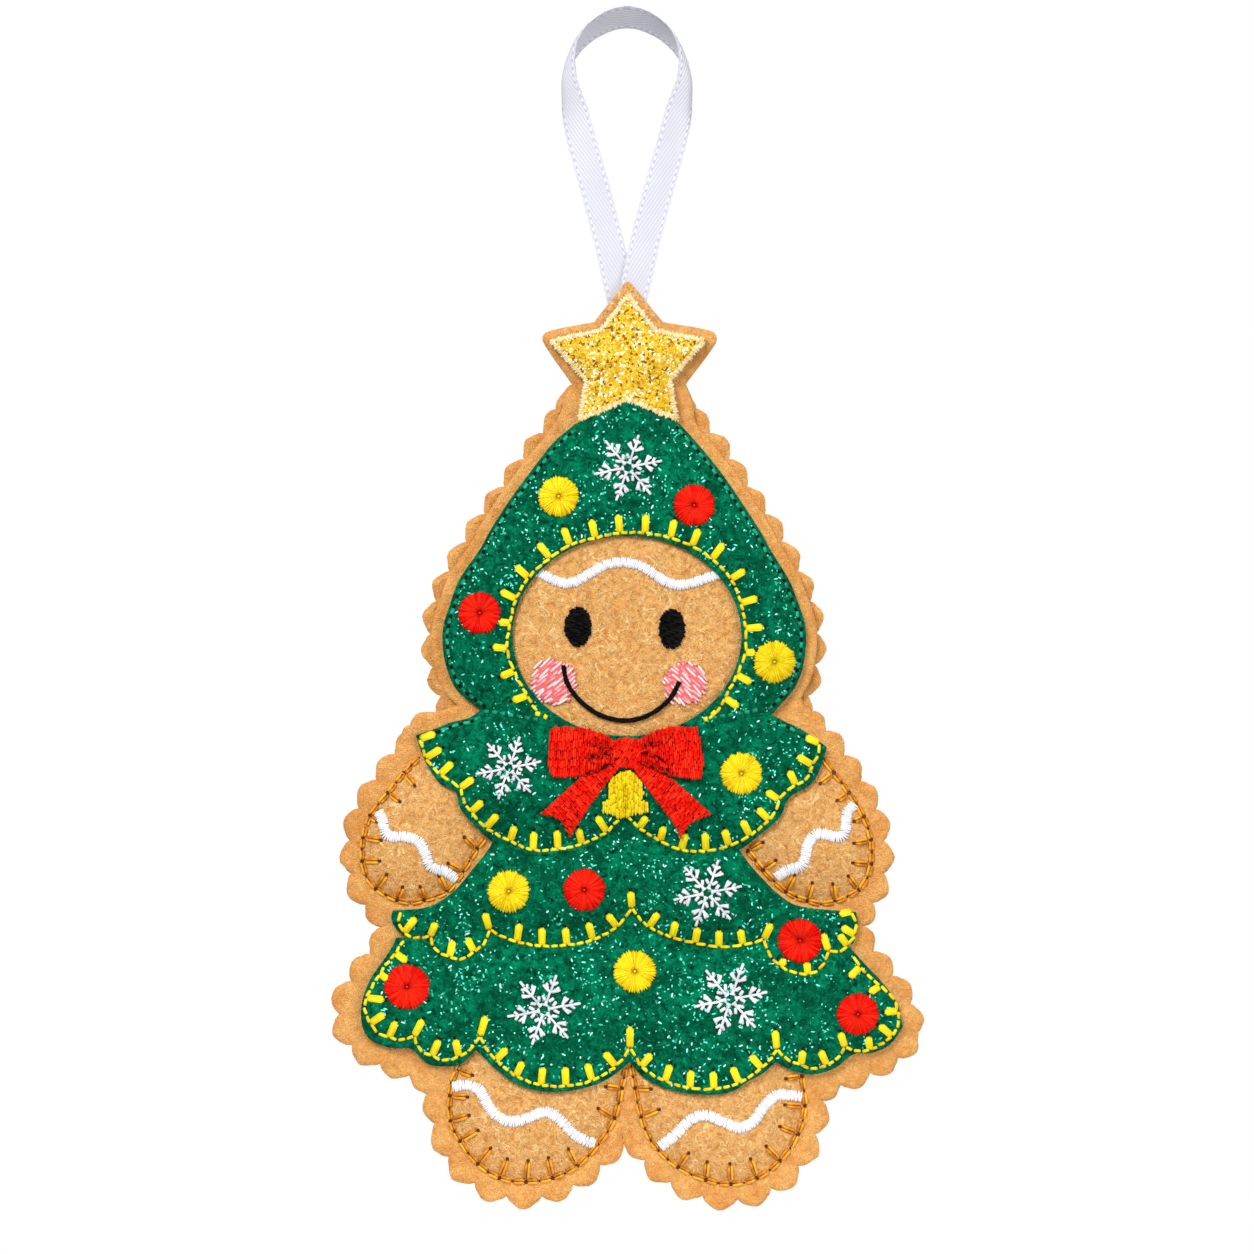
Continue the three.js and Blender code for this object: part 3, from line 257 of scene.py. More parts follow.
# Middle, radius, and the way of the threads in degrees
CHEEKS = {"cheek_left": ((553.5, 682), 24.2, -42), "cheek_right": ((684.8, 683.6), 23, 46)}
SMILE = [
    (563.5, 664.5), (565.5, 680), (573.5, 694), (585.5, 706), (601.5, 716), (624.5, 721), (645.5, 717),
    (660.5, 708), (672.5, 696), (679.5, 681.5),
]
BOW = {
    "bow_loop_left": [(551, 729), (555, 726.8), (572, 727), (588.5, 728.5), (607, 735.7), (614, 741),
                      (614, 763), (600, 769), (588, 774), (570, 777.6), (555, 778), (549, 772), (548, 758)],
    "bow_loop_right": [(639, 740), (654, 731.3), (669.5, 726.8), (698, 727.3), (699.6, 739), (704, 760.8),
                       (701.5, 778), (696, 779.8), (672, 776), (660.5, 772.5), (639, 763)],
    "bow_knot": [(613, 741), (620, 738.6), (627, 737.5), (640, 740), (640.5, 764), (634, 768), (620, 768),
                 (612.5, 763)],
    "bow_tail_left": [(611, 764), (583, 776), (563.5, 792.5), (541, 814), (554.5, 817), (563.5, 824),
                      (570, 837.5), (578, 824), (592, 803), (607, 782.5), (618, 769.5), (621, 766)],
    "bow_tail_right": [(633, 766), (635, 771.4), (646, 787), (663, 809.4), (677.3, 829.5), (680.6, 838.5),
                       (684, 832), (689.6, 825), (696, 820.5), (710.8, 814), (694, 798.2), (676, 782.6),
                       (661, 773), (641, 764)],
}
# The way of the threads in each part of the bow, in degrees
BOW_ANGLES = (94, 86, 120, 48, 128)
# Heights in millimetres, and the height under which threads lie in shade; widths and steps in dots
BOW_HEIGHT, CREASE_DEPTH, FOLDED = 0.6, 0.5, 0.36
CREASE_WIDTH, CREASE_STEP = 2.6, 3.2
# Creases in the left loop and in the right loop, three in each; the threads dip along them, and dark strokes
# paint their shadow
CREASES = [
    [(588.4, 742.1), (596, 743.7), (605.7, 746.4), (613.3, 747.5)],
    [(587.3, 758.4), (596, 756.2), (605.7, 753.5), (611.1, 752.4)],
    [(583, 776), (593.8, 771), (605.7, 765.6), (614.4, 762)],
    [(660, 743.4), (648, 744.8), (639.3, 747.5)],
    [(666.4, 761.6), (661, 758.9), (651.3, 754.6), (641.5, 752.4)],
    [(670.8, 776.4), (663.2, 772), (653.4, 766.4), (639.3, 762.6)],
]
# Short stitches by the chin, and the stitches that run over the neck
FACE_KNOTS = [
    ((535, 713.6), (540.5, 714)), ((543.5, 716), (547.5, 717.6)),
    ((711.5, 715.4), (716, 711)), ((703.5, 720), (708, 718.4)),
]
NECK_STITCHES = {
    "cape_running_stitch_left": [(482, 711), (500, 713), (521, 717), (542, 720)],
    "cape_running_stitch_right": [(702, 719), (722, 716), (742, 713), (762, 709)],
}
BELL = [
    (629, 769.8), (620, 773), (612.5, 777), (609.2, 782.6), (607.5, 793), (609.2, 800.4), (602, 801.6),
    (602.5, 812.7), (611.4, 813.8), (617, 817.5), (625, 818), (633, 814.5), (648.3, 812.7), (648.3, 802.1),
    (641.6, 800.4), (643.8, 793.8), (642.7, 782.6), (635, 773.7),
]
# Middles, and the radius or reach where it is not the usual one
BAUBLES = {
    "bauble_hood_yellow": (558.5, 496.3, 20.4), "bauble_hood_red": (694.2, 505.3, 20.8),
    "bauble_cheek_red": (479.5, 613), "bauble_cheek_yellow": (774.5, 662),
    "bauble_cape_yellow": (741.5, 773.6), "bauble_upper_yellow": (508.6, 891.5),
    "bauble_upper_red": (584.2, 890), "bauble_upper_edge_red": (800, 940.8, 22.4),
    "bauble_lower_yellow": (634.7, 971.5), "bauble_lower_left_red": (407, 987, 22.7),
    "bauble_lower_right_red": (858, 1014.3),
}
SNOWFLAKES = {
    "snowflake_hood": (628, 467.5, 35), "snowflake_cape": (509, 768, 33.5),
    "snowflake_upper": (707.4, 893, 35.5), "snowflake_lower_left": (544, 1010, 37),
    "snowflake_lower_right": (730.5, 999.4, 38),
}
# The strokes of a snowflake's arm, along it and across it, with their widths: the stem, and a side's branches
SNOWFLAKE_REACH, SNOWFLAKE_ARMS, SNOWFLAKE_TURN = 38, 6, -11
SNOWFLAKE_ARM = [
    ((4.6, 0), (10.6, 0), 3.7), ((9, 0), (22, 0), 2.7), ((20, 0), (32, 0), 2.9), ((31, 0), (38, 0), 3.2),
    ((5.4, -2.8), (5.4, 2.8), 2.8),
]
BRANCHES = [
    ((9.6, 1.6), (14.6, 5.8), 3.7), ((19.4, 0.6), (24.8, 9.2), 3.6),
    ((21.5, 3.4), (27, 7.2), 2.9), ((27, 0.6), (31.4, 4.4), 3.2),
]
for way in (-1, 1):
    SNOWFLAKE_ARM += [((a, way * b), (c, way * d), width) for (a, b), (c, d), width in BRANCHES]


# Lines and outlines, in picture dots
def heading(start, end):
    """The direction from one place to another, and the direction square to it."""
    way = np.subtract(end, start)
    along = way / max(np.linalg.norm(way), 1e-12)
    return along, np.array([-along[1], along[0]])


def directions(degrees):
    """The direction at an angle, and the direction square to it."""
    cosine, sine = math.cos(math.radians(degrees)), math.sin(math.radians(degrees))
    return np.array([cosine, sine]), np.array([-sine, cosine])


def lengths_along(line):
    """The places of a line, the steps between them, and how far along it each place lies."""
    places = np.array(line, float)
    steps = np.linalg.norm(np.diff(places, axis=0), axis=1)
    return places, steps, np.concatenate([[0], np.cumsum(steps)])


def length_of(line):
    return lengths_along(line)[2][-1]


def walk(line, distance):
    """The place at a distance along a line, and the line's direction there."""
    places, steps, run = lengths_along(line)
    distance = min(max(distance, 0), run[-1] - 1e-6)
    i = min(np.searchsorted(run, distance, side="right") - 1, len(steps) - 1)
    along = (places[i + 1] - places[i]) / max(steps[i], 1e-9)
    return places[i] + along * (distance - run[i]), along


def curve_through(points, closed=True, spacing=4.0, corner=48, sharp=()):
    """A smooth line through points, with a corner at the sharp ones and where it turns by more degrees."""
    places = np.array([point[:2] for point in points], float)
    count = len(places)

    def direction(i):
        before, after = places[(i - 1) % count], places[(i + 1) % count]
        if (not closed and i in (0, count - 1)) or tuple(places[i]) in sharp:
            return None
        cosine = heading(before, places[i])[0] @ heading(places[i], after)[0]
        if math.degrees(math.acos(max(-1, min(1, cosine)))) > corner:
            return None
        return heading(before, after)[0]

    line = []
    for i in range(count if closed else count - 1):
        start, end = places[i], places[(i + 1) % count]
        length = math.dist(start, end)
        ways = direction(i), direction((i + 1) % count)
        leave, reach = [end - start if way is None else way * length for way in ways]
        steps = max(1, round(length / spacing))
        for t in np.arange(steps) / steps:
            line.append(
                (2 * t**3 - 3 * t**2 + 1) * start + (t**3 - 2 * t**2 + t) * leave
                + (3 * t**2 - 2 * t**3) * end + (t**3 - t**2) * reach
            )
    if not closed:
        line.append(places[-1])
    return [tuple(point) for point in line]


def grown(points, distance):
    """A closed outline that goes down its left side first, moved out by distance."""
    places = np.array(points, float)
    first, second = places - np.roll(places, 1, axis=0), np.roll(places, -1, axis=0) - places
    first /= np.linalg.norm(first, axis=1)[:, None]
    second /= np.linalg.norm(second, axis=1)[:, None]
    normal = np.stack([-(first + second)[:, 1], (first + second)[:, 0]], axis=1)
    normal /= np.linalg.norm(normal, axis=1)[:, None]
    square = np.sum(normal * np.stack([-first[:, 1], first[:, 0]], axis=1), axis=1)
    return [tuple(point) for point in places + normal * (distance / np.maximum(square, 0.5))[:, None]]


def scallops(first, last, dots_each=12):
    """The scalloped edge from one notch to another."""
    line = []
    sixths = np.arange(1, 6) / 6
    for start, end, lobe in zip(NOTCHES[first:last], NOTCHES[first + 1:last + 1], LOBES[first:last]):
        left = heading(start, end)[1]
        fullness = np.array(lobe) / np.sin(math.pi * sixths) ** ROUNDNESS
        for share in np.arange(dots_each) / dots_each:
            rise = np.interp(share, sixths, fullness) * math.sin(math.pi * share) ** ROUNDNESS
            line.append(tuple(start + np.subtract(end, start) * share + left * rise))
    return line + [NOTCHES[last]]


def ellipse(x, y, across, up, count):
    turns = np.linspace(0, 2 * math.pi, count, endpoint=False)
    return [(x + across * math.cos(turn), y - up * math.sin(turn)) for turn in turns]


def under_edge(outline, first, last):
    """An outline from one point to another, moved just inside and in reverse order."""
    return grown(outline, -0.5)[first:last + 1][::-1]


def turned_left(outline):
    """The outline in the order that goes down its left side first, drawn in a little."""
    return grown(outline if area(outline) < 0 else outline[::-1], -1.2)


def area(points):
    """The area within an outline, below 0 where it is drawn clockwise."""
    x, z = np.array(points, float).T
    return np.sum(x * np.roll(z, -1) - np.roll(x, -1) * z) / 2


BACK_SEAM = grown(NOTCHES[::2], -19)
# The hood's rounded peak, and the cape's edge, which stands a little outside its stitches
HOOD_EDGE = [(627.5, 400.4), (621, 403.6)] + HOOD[1:] + [(634.5, 403.6)]
CAPE_EDGE = [
    outer if 4 <= i <= 19 or 24 <= i <= 26 else (inner[0], inner[1] - (2.2 if i == 0 or i >= 30 else 0))
    for i, (inner, outer) in enumerate(zip(CAPE, grown(CAPE, 3.6)))
]
# The skirts reach up to the edge of the piece above
UPPER_EDGE = UPPER_SKIRT + under_edge(CAPE_EDGE, 10, 20)
LOWER_EDGE = LOWER_SKIRT + under_edge(UPPER_SKIRT, 9, 31)

# How the stuffed body swells, and how the stitches draw it in, over a grid of places
STEP = 0.5 * MM
GRID_X = np.arange(-56 * MM, 56.1 * MM, STEP)
GRID_Z = np.arange(-205 * MM, -36 * MM, STEP)
PLACE_X, PLACE_Z = np.meshgrid(GRID_X, GRID_Z)


def metres(points):
    return np.array([at(*point[:2]) for point in points])


def inside(outline, x, z):
    found = np.zeros(x.shape, bool)
    for (x0, z0), (x1, z1) in zip(outline, np.roll(outline, -1, axis=0)):
        if z0 != z1:
            found ^= ((z0 > z) != (z1 > z)) & (x < (x1 - x0) * (z - z0) / (z1 - z0) + x0)
    return found


def away(lines):
    """Over the grid, the distance to the nearest of some lines."""
    nearest = np.full(PLACE_X.shape, 1.0)
    for line in lines:
        for (x0, z0), (x1, z1) in zip(line, line[1:]):
            dx, dz = x1 - x0, z1 - z0
            share = ((PLACE_X - x0) * dx + (PLACE_Z - z0) * dz) / (dx * dx + dz * dz + 1e-18)
            share = np.clip(share, 0, 1)
            np.minimum(nearest, np.hypot(PLACE_X - x0 - share * dx, PLACE_Z - z0 - share * dz), out=nearest)
    return nearest


def smooth(field, passes):
    for _ in range(passes):
        for axis in (0, 1):
            field = (np.roll(field, 1, axis) + 2 * field + np.roll(field, -1, axis)) / 4
    return field


def near(distance, reach):
    """1 on a line, falling off softly with the distance from it."""
    return np.exp(-((distance / reach) ** 2))


def body_fields():
    """The swell, the pressed margins, the tucks in the front and the back, and the distance to the rim."""
    regions = [metres(outline) for outline in (HOOD, CAPE, UPPER_SKIRT, LOWER_SKIRT, STAR)]
    regions += [
        metres(HAND_LEFT + [(514, 801)]), metres(HAND_RIGHT + [(739, 801)])[::-1],
        metres(FOOT_LEFT + [(538, 1023)]), metres(FOOT_RIGHT + [(716, 1023)]),
    ]
    seam = []
    for region in regions:
        loop = region if area(region) > 0 else region[::-1]
        for start, end in zip(loop, np.roll(loop, -1, axis=0)):
            beyond = (start + end) / 2 - SEAM_PROBE * heading(start, end)[1]
            if not any(inside(other, beyond[:1], beyond[1:])[0] for other in regions):
                seam.append((start, end))
    within = np.any([inside(region, PLACE_X, PLACE_Z) for region in regions], axis=0)
    depth = np.where(within, away(seam), 0)
    swell = smooth(np.sin(math.pi / 2 * np.minimum(depth / LOFT_WIDTH, 1)), 4)
    tail_pocket = (np.abs(PLACE_X) < 6 * MM) & (PLACE_Z > at(0, 372)[1])
    press = PRESS * (1 - smooth(within.astype(float), 3)) * (1 - smooth(tail_pocket.astype(float), 6))
    lines = [
        FACE_LINE, CAPE_LINE, UPPER_LINE, LOWER_LINE, HAND_LEFT, HAND_RIGHT, FOOT_LEFT, FOOT_RIGHT,
        HOOD[1:15], HOOD[22:37], [(628, 1080), (626, 1108), (625, 1141)],
    ]
    tuck = TUCK * near(away([metres(line) for line in lines]), TUCK_REACH)
    back_tuck = TUCK * near(away([metres(BACK_SEAM + BACK_SEAM[:1])]), BACK_TUCK_REACH)
    return swell, press, tuck, back_tuck, away([metres(scallops(0, len(LOBES), 6))])


def look_up(field, x, z):
    i = np.clip((np.asarray(x) - GRID_X[0]) / STEP, 0, len(GRID_X) - 1.001)
    j = np.clip((np.asarray(z) - GRID_Z[0]) / STEP, 0, len(GRID_Z) - 1.001)
    i0, j0 = i.astype(int), j.astype(int)
    u, v = i - i0, j - j0
    low = field[j0, i0] * (1 - u) + field[j0, i0 + 1] * u
    return low * (1 - v) + (field[j0 + 1, i0] * (1 - u) + field[j0 + 1, i0 + 1] * u) * v


SWELL, PRESSED, TUCKED, BACK_TUCKED, RIM_AWAY = body_fields()


def front(x, z, level):
    return -(level + FRONT_LOFT * look_up(SWELL, x, z) - look_up(PRESSED, x, z) - look_up(TUCKED, x, z))


def back(x, z, level):
    return level + BACK_LOFT * look_up(SWELL, x, z) - look_up(PRESSED, x, z) - look_up(BACK_TUCKED, x, z)


# Finishes. Colours are red, green and blue from 0 to 255.
def tint(*colour):
    shares = [value / 255 for value in colour]
    return *(s / 12.92 if s <= 0.04045 else ((s + 0.055) / 1.055) ** 2.4 for s in shares), 1


class Finish:
    """A material under construction: its nodes, joined as they are made."""

    def __init__(self, name, roughness, **sockets):
        self.material = bpy.data.materials.new(name)
        self.material.use_nodes = True
        self.tree = self.material.node_tree
        self.shader = self.tree.nodes["Principled BSDF"]
        self.shader.inputs["Roughness"].default_value = roughness
        for key, value in sockets.items():
            self.shader.inputs[key.replace("_", " ")].default_value = value
        self.places = self.node("ShaderNodeTexCoord")

    def node(self, kind, inputs=None, **settings):
        made = self.tree.nodes.new(kind)
        for key, value in settings.items():
            setattr(made, key, value)
        for key, value in (inputs or {}).items():
            if isinstance(value, bpy.types.NodeSocket):
                self.tree.links.new(value, made.inputs[key])
            else:
                made.inputs[key].default_value = value
        return made

    def attribute(self, name):
        return self.node("ShaderNodeAttribute", attribute_name=name).outputs["Fac"]

    def turned(self, turn=(0, 0, 0), scale=(1, 1, 1), source="Object"):
        """Coordinates that are turned first and then stretched."""
        around = self.node("ShaderNodeMapping", {"Vector": self.places.outputs[source], "Rotation": turn})
        return self.node("ShaderNodeMapping", {"Vector": around.outputs[0], "Scale": scale}).outputs[0]

    def noise(self, scale, detail=2.0, roughness=0.5, distortion=0.0, vector=None):
        return self.node("ShaderNodeTexNoise", {
            "Vector": vector or self.places.outputs["Object"], "Scale": scale, "Detail": detail,
            "Roughness": roughness, "Distortion": distortion,
        }).outputs[0]

    def calc(self, operation, first, second=0.0):
        return self.node("ShaderNodeMath", {0: first, 1: second}, operation=operation).outputs[0]

    def added(self, first, *others):
        for other in others:
            first = self.calc("ADD", first, other)
        return first

    def times(self, first, second):
        return self.calc("MULTIPLY", first, second)

    def off(self, value, middle):
        """How far a value is from a middle one."""
        return self.calc("ABSOLUTE", self.calc("SUBTRACT", value, middle))

    def band(self, value, low, high, out_low=0.0, out_high=1.0):
        return self.node("ShaderNodeMapRange", {
            "Value": value, "From Min": low, "From Max": high, "To Min": out_low, "To Max": out_high,
        }).outputs[0]

    def strands(self, scale, bands, width, turn=None):
        """Thin curling lines: the contours of a soft noise, as matted fibres lie."""
        field = self.noise(scale, 1.5, 0.45, 1.6, turn and self.turned(turn))
        wave = self.calc("PINGPONG", self.times(field, bands), 0.5)
        return self.band(wave, 0.0, width, 1.0, 0.0)

    def ramp(self, factor, *stops):
        made = self.node("ShaderNodeValToRGB", {0: factor})
        elements = made.color_ramp.elements
        while len(elements) < len(stops):
            elements.new(1.0)
        for element, (place, colour) in zip(elements, stops):
            element.position, element.color = place, tint(*colour)
        return made.outputs[0]

    def mix(self, factor, first, second):
        first, second = [tint(*part) if isinstance(part, tuple) else part for part in (first, second)]
        return self.node("ShaderNodeMix", {0: factor, 6: first, 7: second}, data_type="RGBA").outputs[2]

    def layers(self, ground, *layers):
        """The base colour: layers over a ground, each as strong as its mask times its share."""
        for mask, share, colour in layers:
            ground = self.mix(self.times(mask, share), ground, colour)
        self.tree.links.new(ground, self.shader.inputs["Base Color"])

    def bump(self, height, distance, strength):
        made = self.node("ShaderNodeBump", {"Height": height, "Distance": distance, "Strength": strength})
        self.tree.links.new(made.outputs[0], self.shader.inputs["Normal"])


def tan_felt():
    felt = Finish("tan_felt", 0.95, Sheen_Weight=0.1, Sheen_Roughness=0.6, Specular_IOR_Level=0.1)
    clumps = felt.noise(1000, 3, 0.6, 0.4)
    spots = felt.band(felt.noise(1250, 2, 0.5, 0.3, felt.turned((0.3, 1.2, 0.6))), 0.56, 0.7)
    pale, thin = felt.strands(380, 4, 0.1), felt.strands(500, 4, 0.1, (0.7, 0.4, 1.1))
    fine = felt.calc(
        "MAXIMUM", felt.strands(620, 4, 0.1, (1.9, 0.8, 0.3)), felt.strands(430, 5, 0.1, (2.4, 0.9, 1.7)),
    )
    dark = felt.strands(430, 4, 0.1, (1.2, 0.2, 2.1))
    ground = felt.ramp(
        clumps, (0.32, (186, 122, 56)), (0.42, (207, 144, 76)), (0.5, (218, 157, 86)), (0.66, (230, 171, 98)),
    )
    smoother = felt.mix(felt.band(felt.noise(330, 3, 0.6), 0.38, 0.62), (214, 138, 60), (234, 171, 94))
    felt.layers(
        ground,
        (spots, 0.6, (184, 116, 46)), (dark, 0.6, (184, 114, 46)), (fine, 0.48, (242, 194, 124)),
        (thin, 0.6, (248, 204, 136)), (pale, 0.75, (254, 218, 154)),
        (felt.attribute("margin"), 0.7, smoother),
    )
    height = felt.calc("SUBTRACT", felt.added(pale, thin, fine, clumps), felt.added(dark, spots))
    felt.bump(height, 0.12 * MM, 0.7)
    return felt.material


def green_glitter_felt():
    felt = Finish("green_glitter_felt", 0.95, Specular_IOR_Level=0.04)
    broad, clumps, spots = felt.noise(300, 4, 0.65), felt.noise(900, 4, 0.75, 0.6), felt.noise(1700, 2, 0.5)
    lines = felt.strands(380, 3, 0.12)
    ground = felt.ramp(
        clumps, (0.34, (0, 30, 20)), (0.43, (0, 76, 52)), (0.52, (0, 104, 70)), (0.66, (0, 130, 90)),
    )
    # The pale teal specks are faint glitter: real teal grains, brightened as painted glints.
    felt.layers(
        ground, (felt.band(broad, 0.42, 0.62), 0.75, (0, 60, 38)), (lines, 0.45, (6, 142, 104)),
        (felt.band(spots, 0.64, 0.74), 0.6, (30, 180, 140)),
    )
    felt.bump(felt.added(felt.times(clumps, 1.6), lines), 0.14 * MM, 0.75)
    return felt.material


def glitter_flakes():
    flake = Finish("glitter_flakes", 0.35, Specular_IOR_Level=0.5)
    # Each flake's shade picks a colour from teal to near white: the pale and white ones are painted glints.
    flake.layers(flake.ramp(
        flake.attribute("shade"),
        (0.0, (10, 156, 118)), (0.45, (52, 212, 176)), (0.8, (110, 250, 232)), (1.0, (230, 255, 252)),
    ))
    return flake.material


def gold_glitter_felt():
    felt = Finish("gold_glitter_felt", 0.45, Metallic=0.2, Specular_IOR_Level=0.2)
    foil = felt.noise(1300, 4, 0.72, 1.6)
    worms = felt.strands(800, 5, 0.26, (0.5, 0.2, 0.8))
    # The foil's near-white tones and the white cells are painted glints of tilted flakes; the dark tones and
    # dark cells are painted shade of flakes turned away.
    ground = felt.ramp(
        foil, (0.32, (140, 92, 0)), (0.4, (196, 138, 0)), (0.49, (226, 172, 0)), (0.55, (238, 190, 10)),
        (0.6, (252, 226, 90)), (0.66, (255, 255, 224.6)),
    )
    cells = felt.node("ShaderNodeTexVoronoi", {"Vector": felt.turned(), "Scale": 2600.0})
    picked = felt.node("ShaderNodeSeparateColor", {0: cells.outputs["Color"]}).outputs
    felt.layers(
        ground, (worms, 0.45, (255, 228, 90)),
        (felt.calc("GREATER_THAN", picked[0], 0.9), 1, (255, 252.8, 231.1)),
        (felt.calc("LESS_THAN", picked[1], 0.12), 1, (140, 90, 4)),
    )
    felt.bump(felt.added(foil, felt.times(picked[2], 0.5)), 0.3 * MM, 0.8)
    return felt.material


def fibre(name, low, high):
    felt = Finish(name, 1.0, Sheen_Weight=0.2)
    felt.layers(felt.mix(felt.noise(700, 4, 0.7), low, high))
    felt.bump(felt.strands(300, 5, 0.2), 0.3 * MM, 0.6)
    return felt.material


def thread(name, deep, body, pale, hole, roughness, gloss, metallic=0.0):
    """Spun thread. Each strand's shade value picks its colour from deep to pale; values under 0.1 give the
    dark colour painted as the shadow in a needle hole.
    """
    yarn = Finish(name, roughness, Metallic=metallic, Specular_IOR_Level=gloss)
    shade = yarn.attribute("shade")
    ground = yarn.ramp(shade, (0.0, hole), (0.09, hole), (0.1, deep), (0.5, body), (1.0, pale))
    along = yarn.node("ShaderNodeSeparateXYZ", {0: yarn.places.outputs["UV"]}).outputs[0]
    # Painted highlight: a pale band along each strand. Painted shade: the deep colour at both ends, where the
    # strand dives into the cloth.
    lit = yarn.band(yarn.off(along, 0.7), 0.0, 0.24, 0.45, 0.0)
    ends = yarn.band(yarn.off(along, 0.5), 0.36, 0.5, 0.0, 0.5)
    is_strand = yarn.calc("GREATER_THAN", shade, 0.095)
    ply = yarn.node("ShaderNodeTexWave", {
        "Vector": yarn.turned(scale=(5.0, 1.0, 1.0), source="UV"), "Scale": 2.0, "Distortion": 0.6,
    }, bands_direction="DIAGONAL").outputs[1]
    yarn.layers(
        ground, (lit, is_strand, pale), (ends, is_strand, deep), (yarn.times(ply, 0.18), is_strand, pale),
    )
    yarn.bump(ply, 0.05 * MM, 0.5)
    return yarn.material


def satin_ribbon():
    satin = Finish("satin_ribbon", 0.38, Specular_IOR_Level=0.4)
    across, along, _ = satin.node("ShaderNodeSeparateXYZ", {0: satin.places.outputs["UV"]}).outputs
    twill = satin.calc("SINE", satin.times(satin.added(across, satin.times(along, 0.36)), 58))
    selvedge = satin.band(satin.off(satin.off(across, 0.5), 0.4), 0.035, 0.02)
    dash = satin.calc("GREATER_THAN", satin.calc("SINE", satin.times(along, 25)), 0.1)
    satin.layers(
        satin.mix(satin.band(satin.noise(90, 2), 0.3, 0.7), (204, 204, 214), (216, 216, 224)),
        (satin.band(twill, 0.1, 1.0), 0.6, (184, 186, 204)),
        (selvedge, 0.7, satin.mix(dash, (230, 230, 234), (176, 178, 200))),
    )
    satin.bump(satin.added(satin.times(twill, 0.4), selvedge), 0.05 * MM, 0.5)
    return satin.material


# Deep, plain and pale colour, the colour painted as shadow in needle holes, roughness, gloss; deep also
# paints shade at strand ends, pale a highlight
THREADS = {
    "cream_thread": ((226, 180, 96), (248, 222, 150), (255, 244, 204), (150, 104, 40), 0.5, 0.15),
    "green_thread": ((0, 60, 40), (0, 124, 90), (40, 190, 150), (0, 12, 8), 0.5, 0.15),
    "yellow_thread": ((200, 122, 0), (246, 208, 0), (255, 246, 40), (10, 30, 10), 0.5, 0.15),
    "gold_thread": ((120, 58, 2), (204, 116, 8), (255, 186, 52), (84, 42, 8), 0.38, 0.3, 0.05),
    "white_thread": ((186, 184, 200), (230, 229, 238), (250, 250, 252), (130, 110, 100), 0.55, 0.15),
    "black_thread": ((1, 1, 1), (4, 4, 3), (30, 30, 28), (0, 0, 0), 0.6, 0.06),
    "pink_thread": ((210, 92, 84), (240, 140, 150), (255, 222, 222), (150, 90, 50), 0.5, 0.15),
    "red_thread": ((140, 0, 0), (240, 0, 0), (255, 56, 26), (60, 0, 0), 0.5, 0.06),
}
LOOKS = {
    "glitter_flakes": glitter_flakes(),
    "tan_felt": tan_felt(),
    "green_glitter_felt": green_glitter_felt(),
    "gold_glitter_felt": gold_glitter_felt(),
    "stuffing_fibre": fibre("stuffing_fibre", (225, 222, 214), (250, 249, 245)),
    "stabiliser_fibre": fibre("stabiliser_fibre", (232, 232, 228), (250, 250, 248)),
    "satin_ribbon": satin_ribbon(),
    **{name: thread(name, *looks) for name, looks in THREADS.items()},
}


# Making the pieces
def choose(*pieces):
    if bpy.context.object and bpy.context.object.mode != "OBJECT":
        bpy.ops.object.mode_set(mode="OBJECT")
    bpy.ops.object.select_all(action="DESELECT")
    for piece in pieces:
        piece.select_set(True)
    if pieces:
        bpy.context.view_layer.objects.active = pieces[0]


def join(pieces):
    choose(*pieces)
    bpy.ops.object.join()
    return bpy.context.object


def flip(piece):
    choose(piece)
    bpy.ops.object.mode_set(mode="EDIT")
    bpy.ops.mesh.select_all(action="SELECT")
    bpy.ops.mesh.flip_normals()
    bpy.ops.object.mode_set(mode="OBJECT")


def thicken(piece, thickness, offset):
    solid = piece.modifiers.new("thickness", "SOLIDIFY")
    solid.thickness, solid.offset = thickness, offset
    bpy.ops.object.modifier_apply(modifier="thickness")


def set_places(piece, places):
    piece.data.vertices.foreach_set("co", np.ascontiguousarray(places, dtype=np.float32).ravel())
    piece.data.update()


def get_places(piece):
    places = np.empty(len(piece.data.vertices) * 3, np.float32)
    piece.data.vertices.foreach_get("co", places)
    return places.reshape(-1, 3).astype(float)


def set_values(piece, name, values):
    """Gives each point of a piece a value that its material reads."""
    kept = piece.data.attributes.get(name) or piece.data.attributes.new(name, "FLOAT", "POINT")
    kept.data.foreach_set("value", np.full(len(piece.data.vertices), values, np.float32))


def copy_of(source, places, shade):
    copy = source.copy()
    copy.data = source.data.copy()
    bpy.context.collection.objects.link(copy)
    set_places(copy, places)
    set_values(copy, "shade", shade)
    return copy


def settle(piece):
    """Draws the near side in and the far side out, as much as the camera's nearness does the opposite."""
    places = get_places(piece)
    nearness = 1 + places[:, 1] / CAMERA
    places[:, 0] *= nearness
    places[:, 2] = EYE_LEVEL + (places[:, 2] - EYE_LEVEL) * nearness
    set_places(piece, places)


def finish_piece(piece, name, slot, nodes, body="figure", angle=40, look=None):
    """Names, smooths and colours a piece, and sets it on its body in place of its nodes."""
    piece.name = piece.data.name = name
    choose(piece)
    bpy.ops.object.shade_smooth_by_angle(angle=math.radians(angle))
    piece.data.materials.clear()
    piece.data.materials.append(LOOKS[look or slot])
    if body:
        settle(piece)
        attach(piece, body)
    if nodes:
        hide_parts(*nodes)
    return piece


def flat_ring(outline):
    """A flat ring of edges along an outline in picture dots."""
    choose()
    bpy.ops.mesh.primitive_circle_add(vertices=len(outline), radius=0.05, fill_type="NOTHING")
    ring = bpy.context.object
    set_places(ring, [(x, 0, z) for x, z in metres(outline)])
    return ring


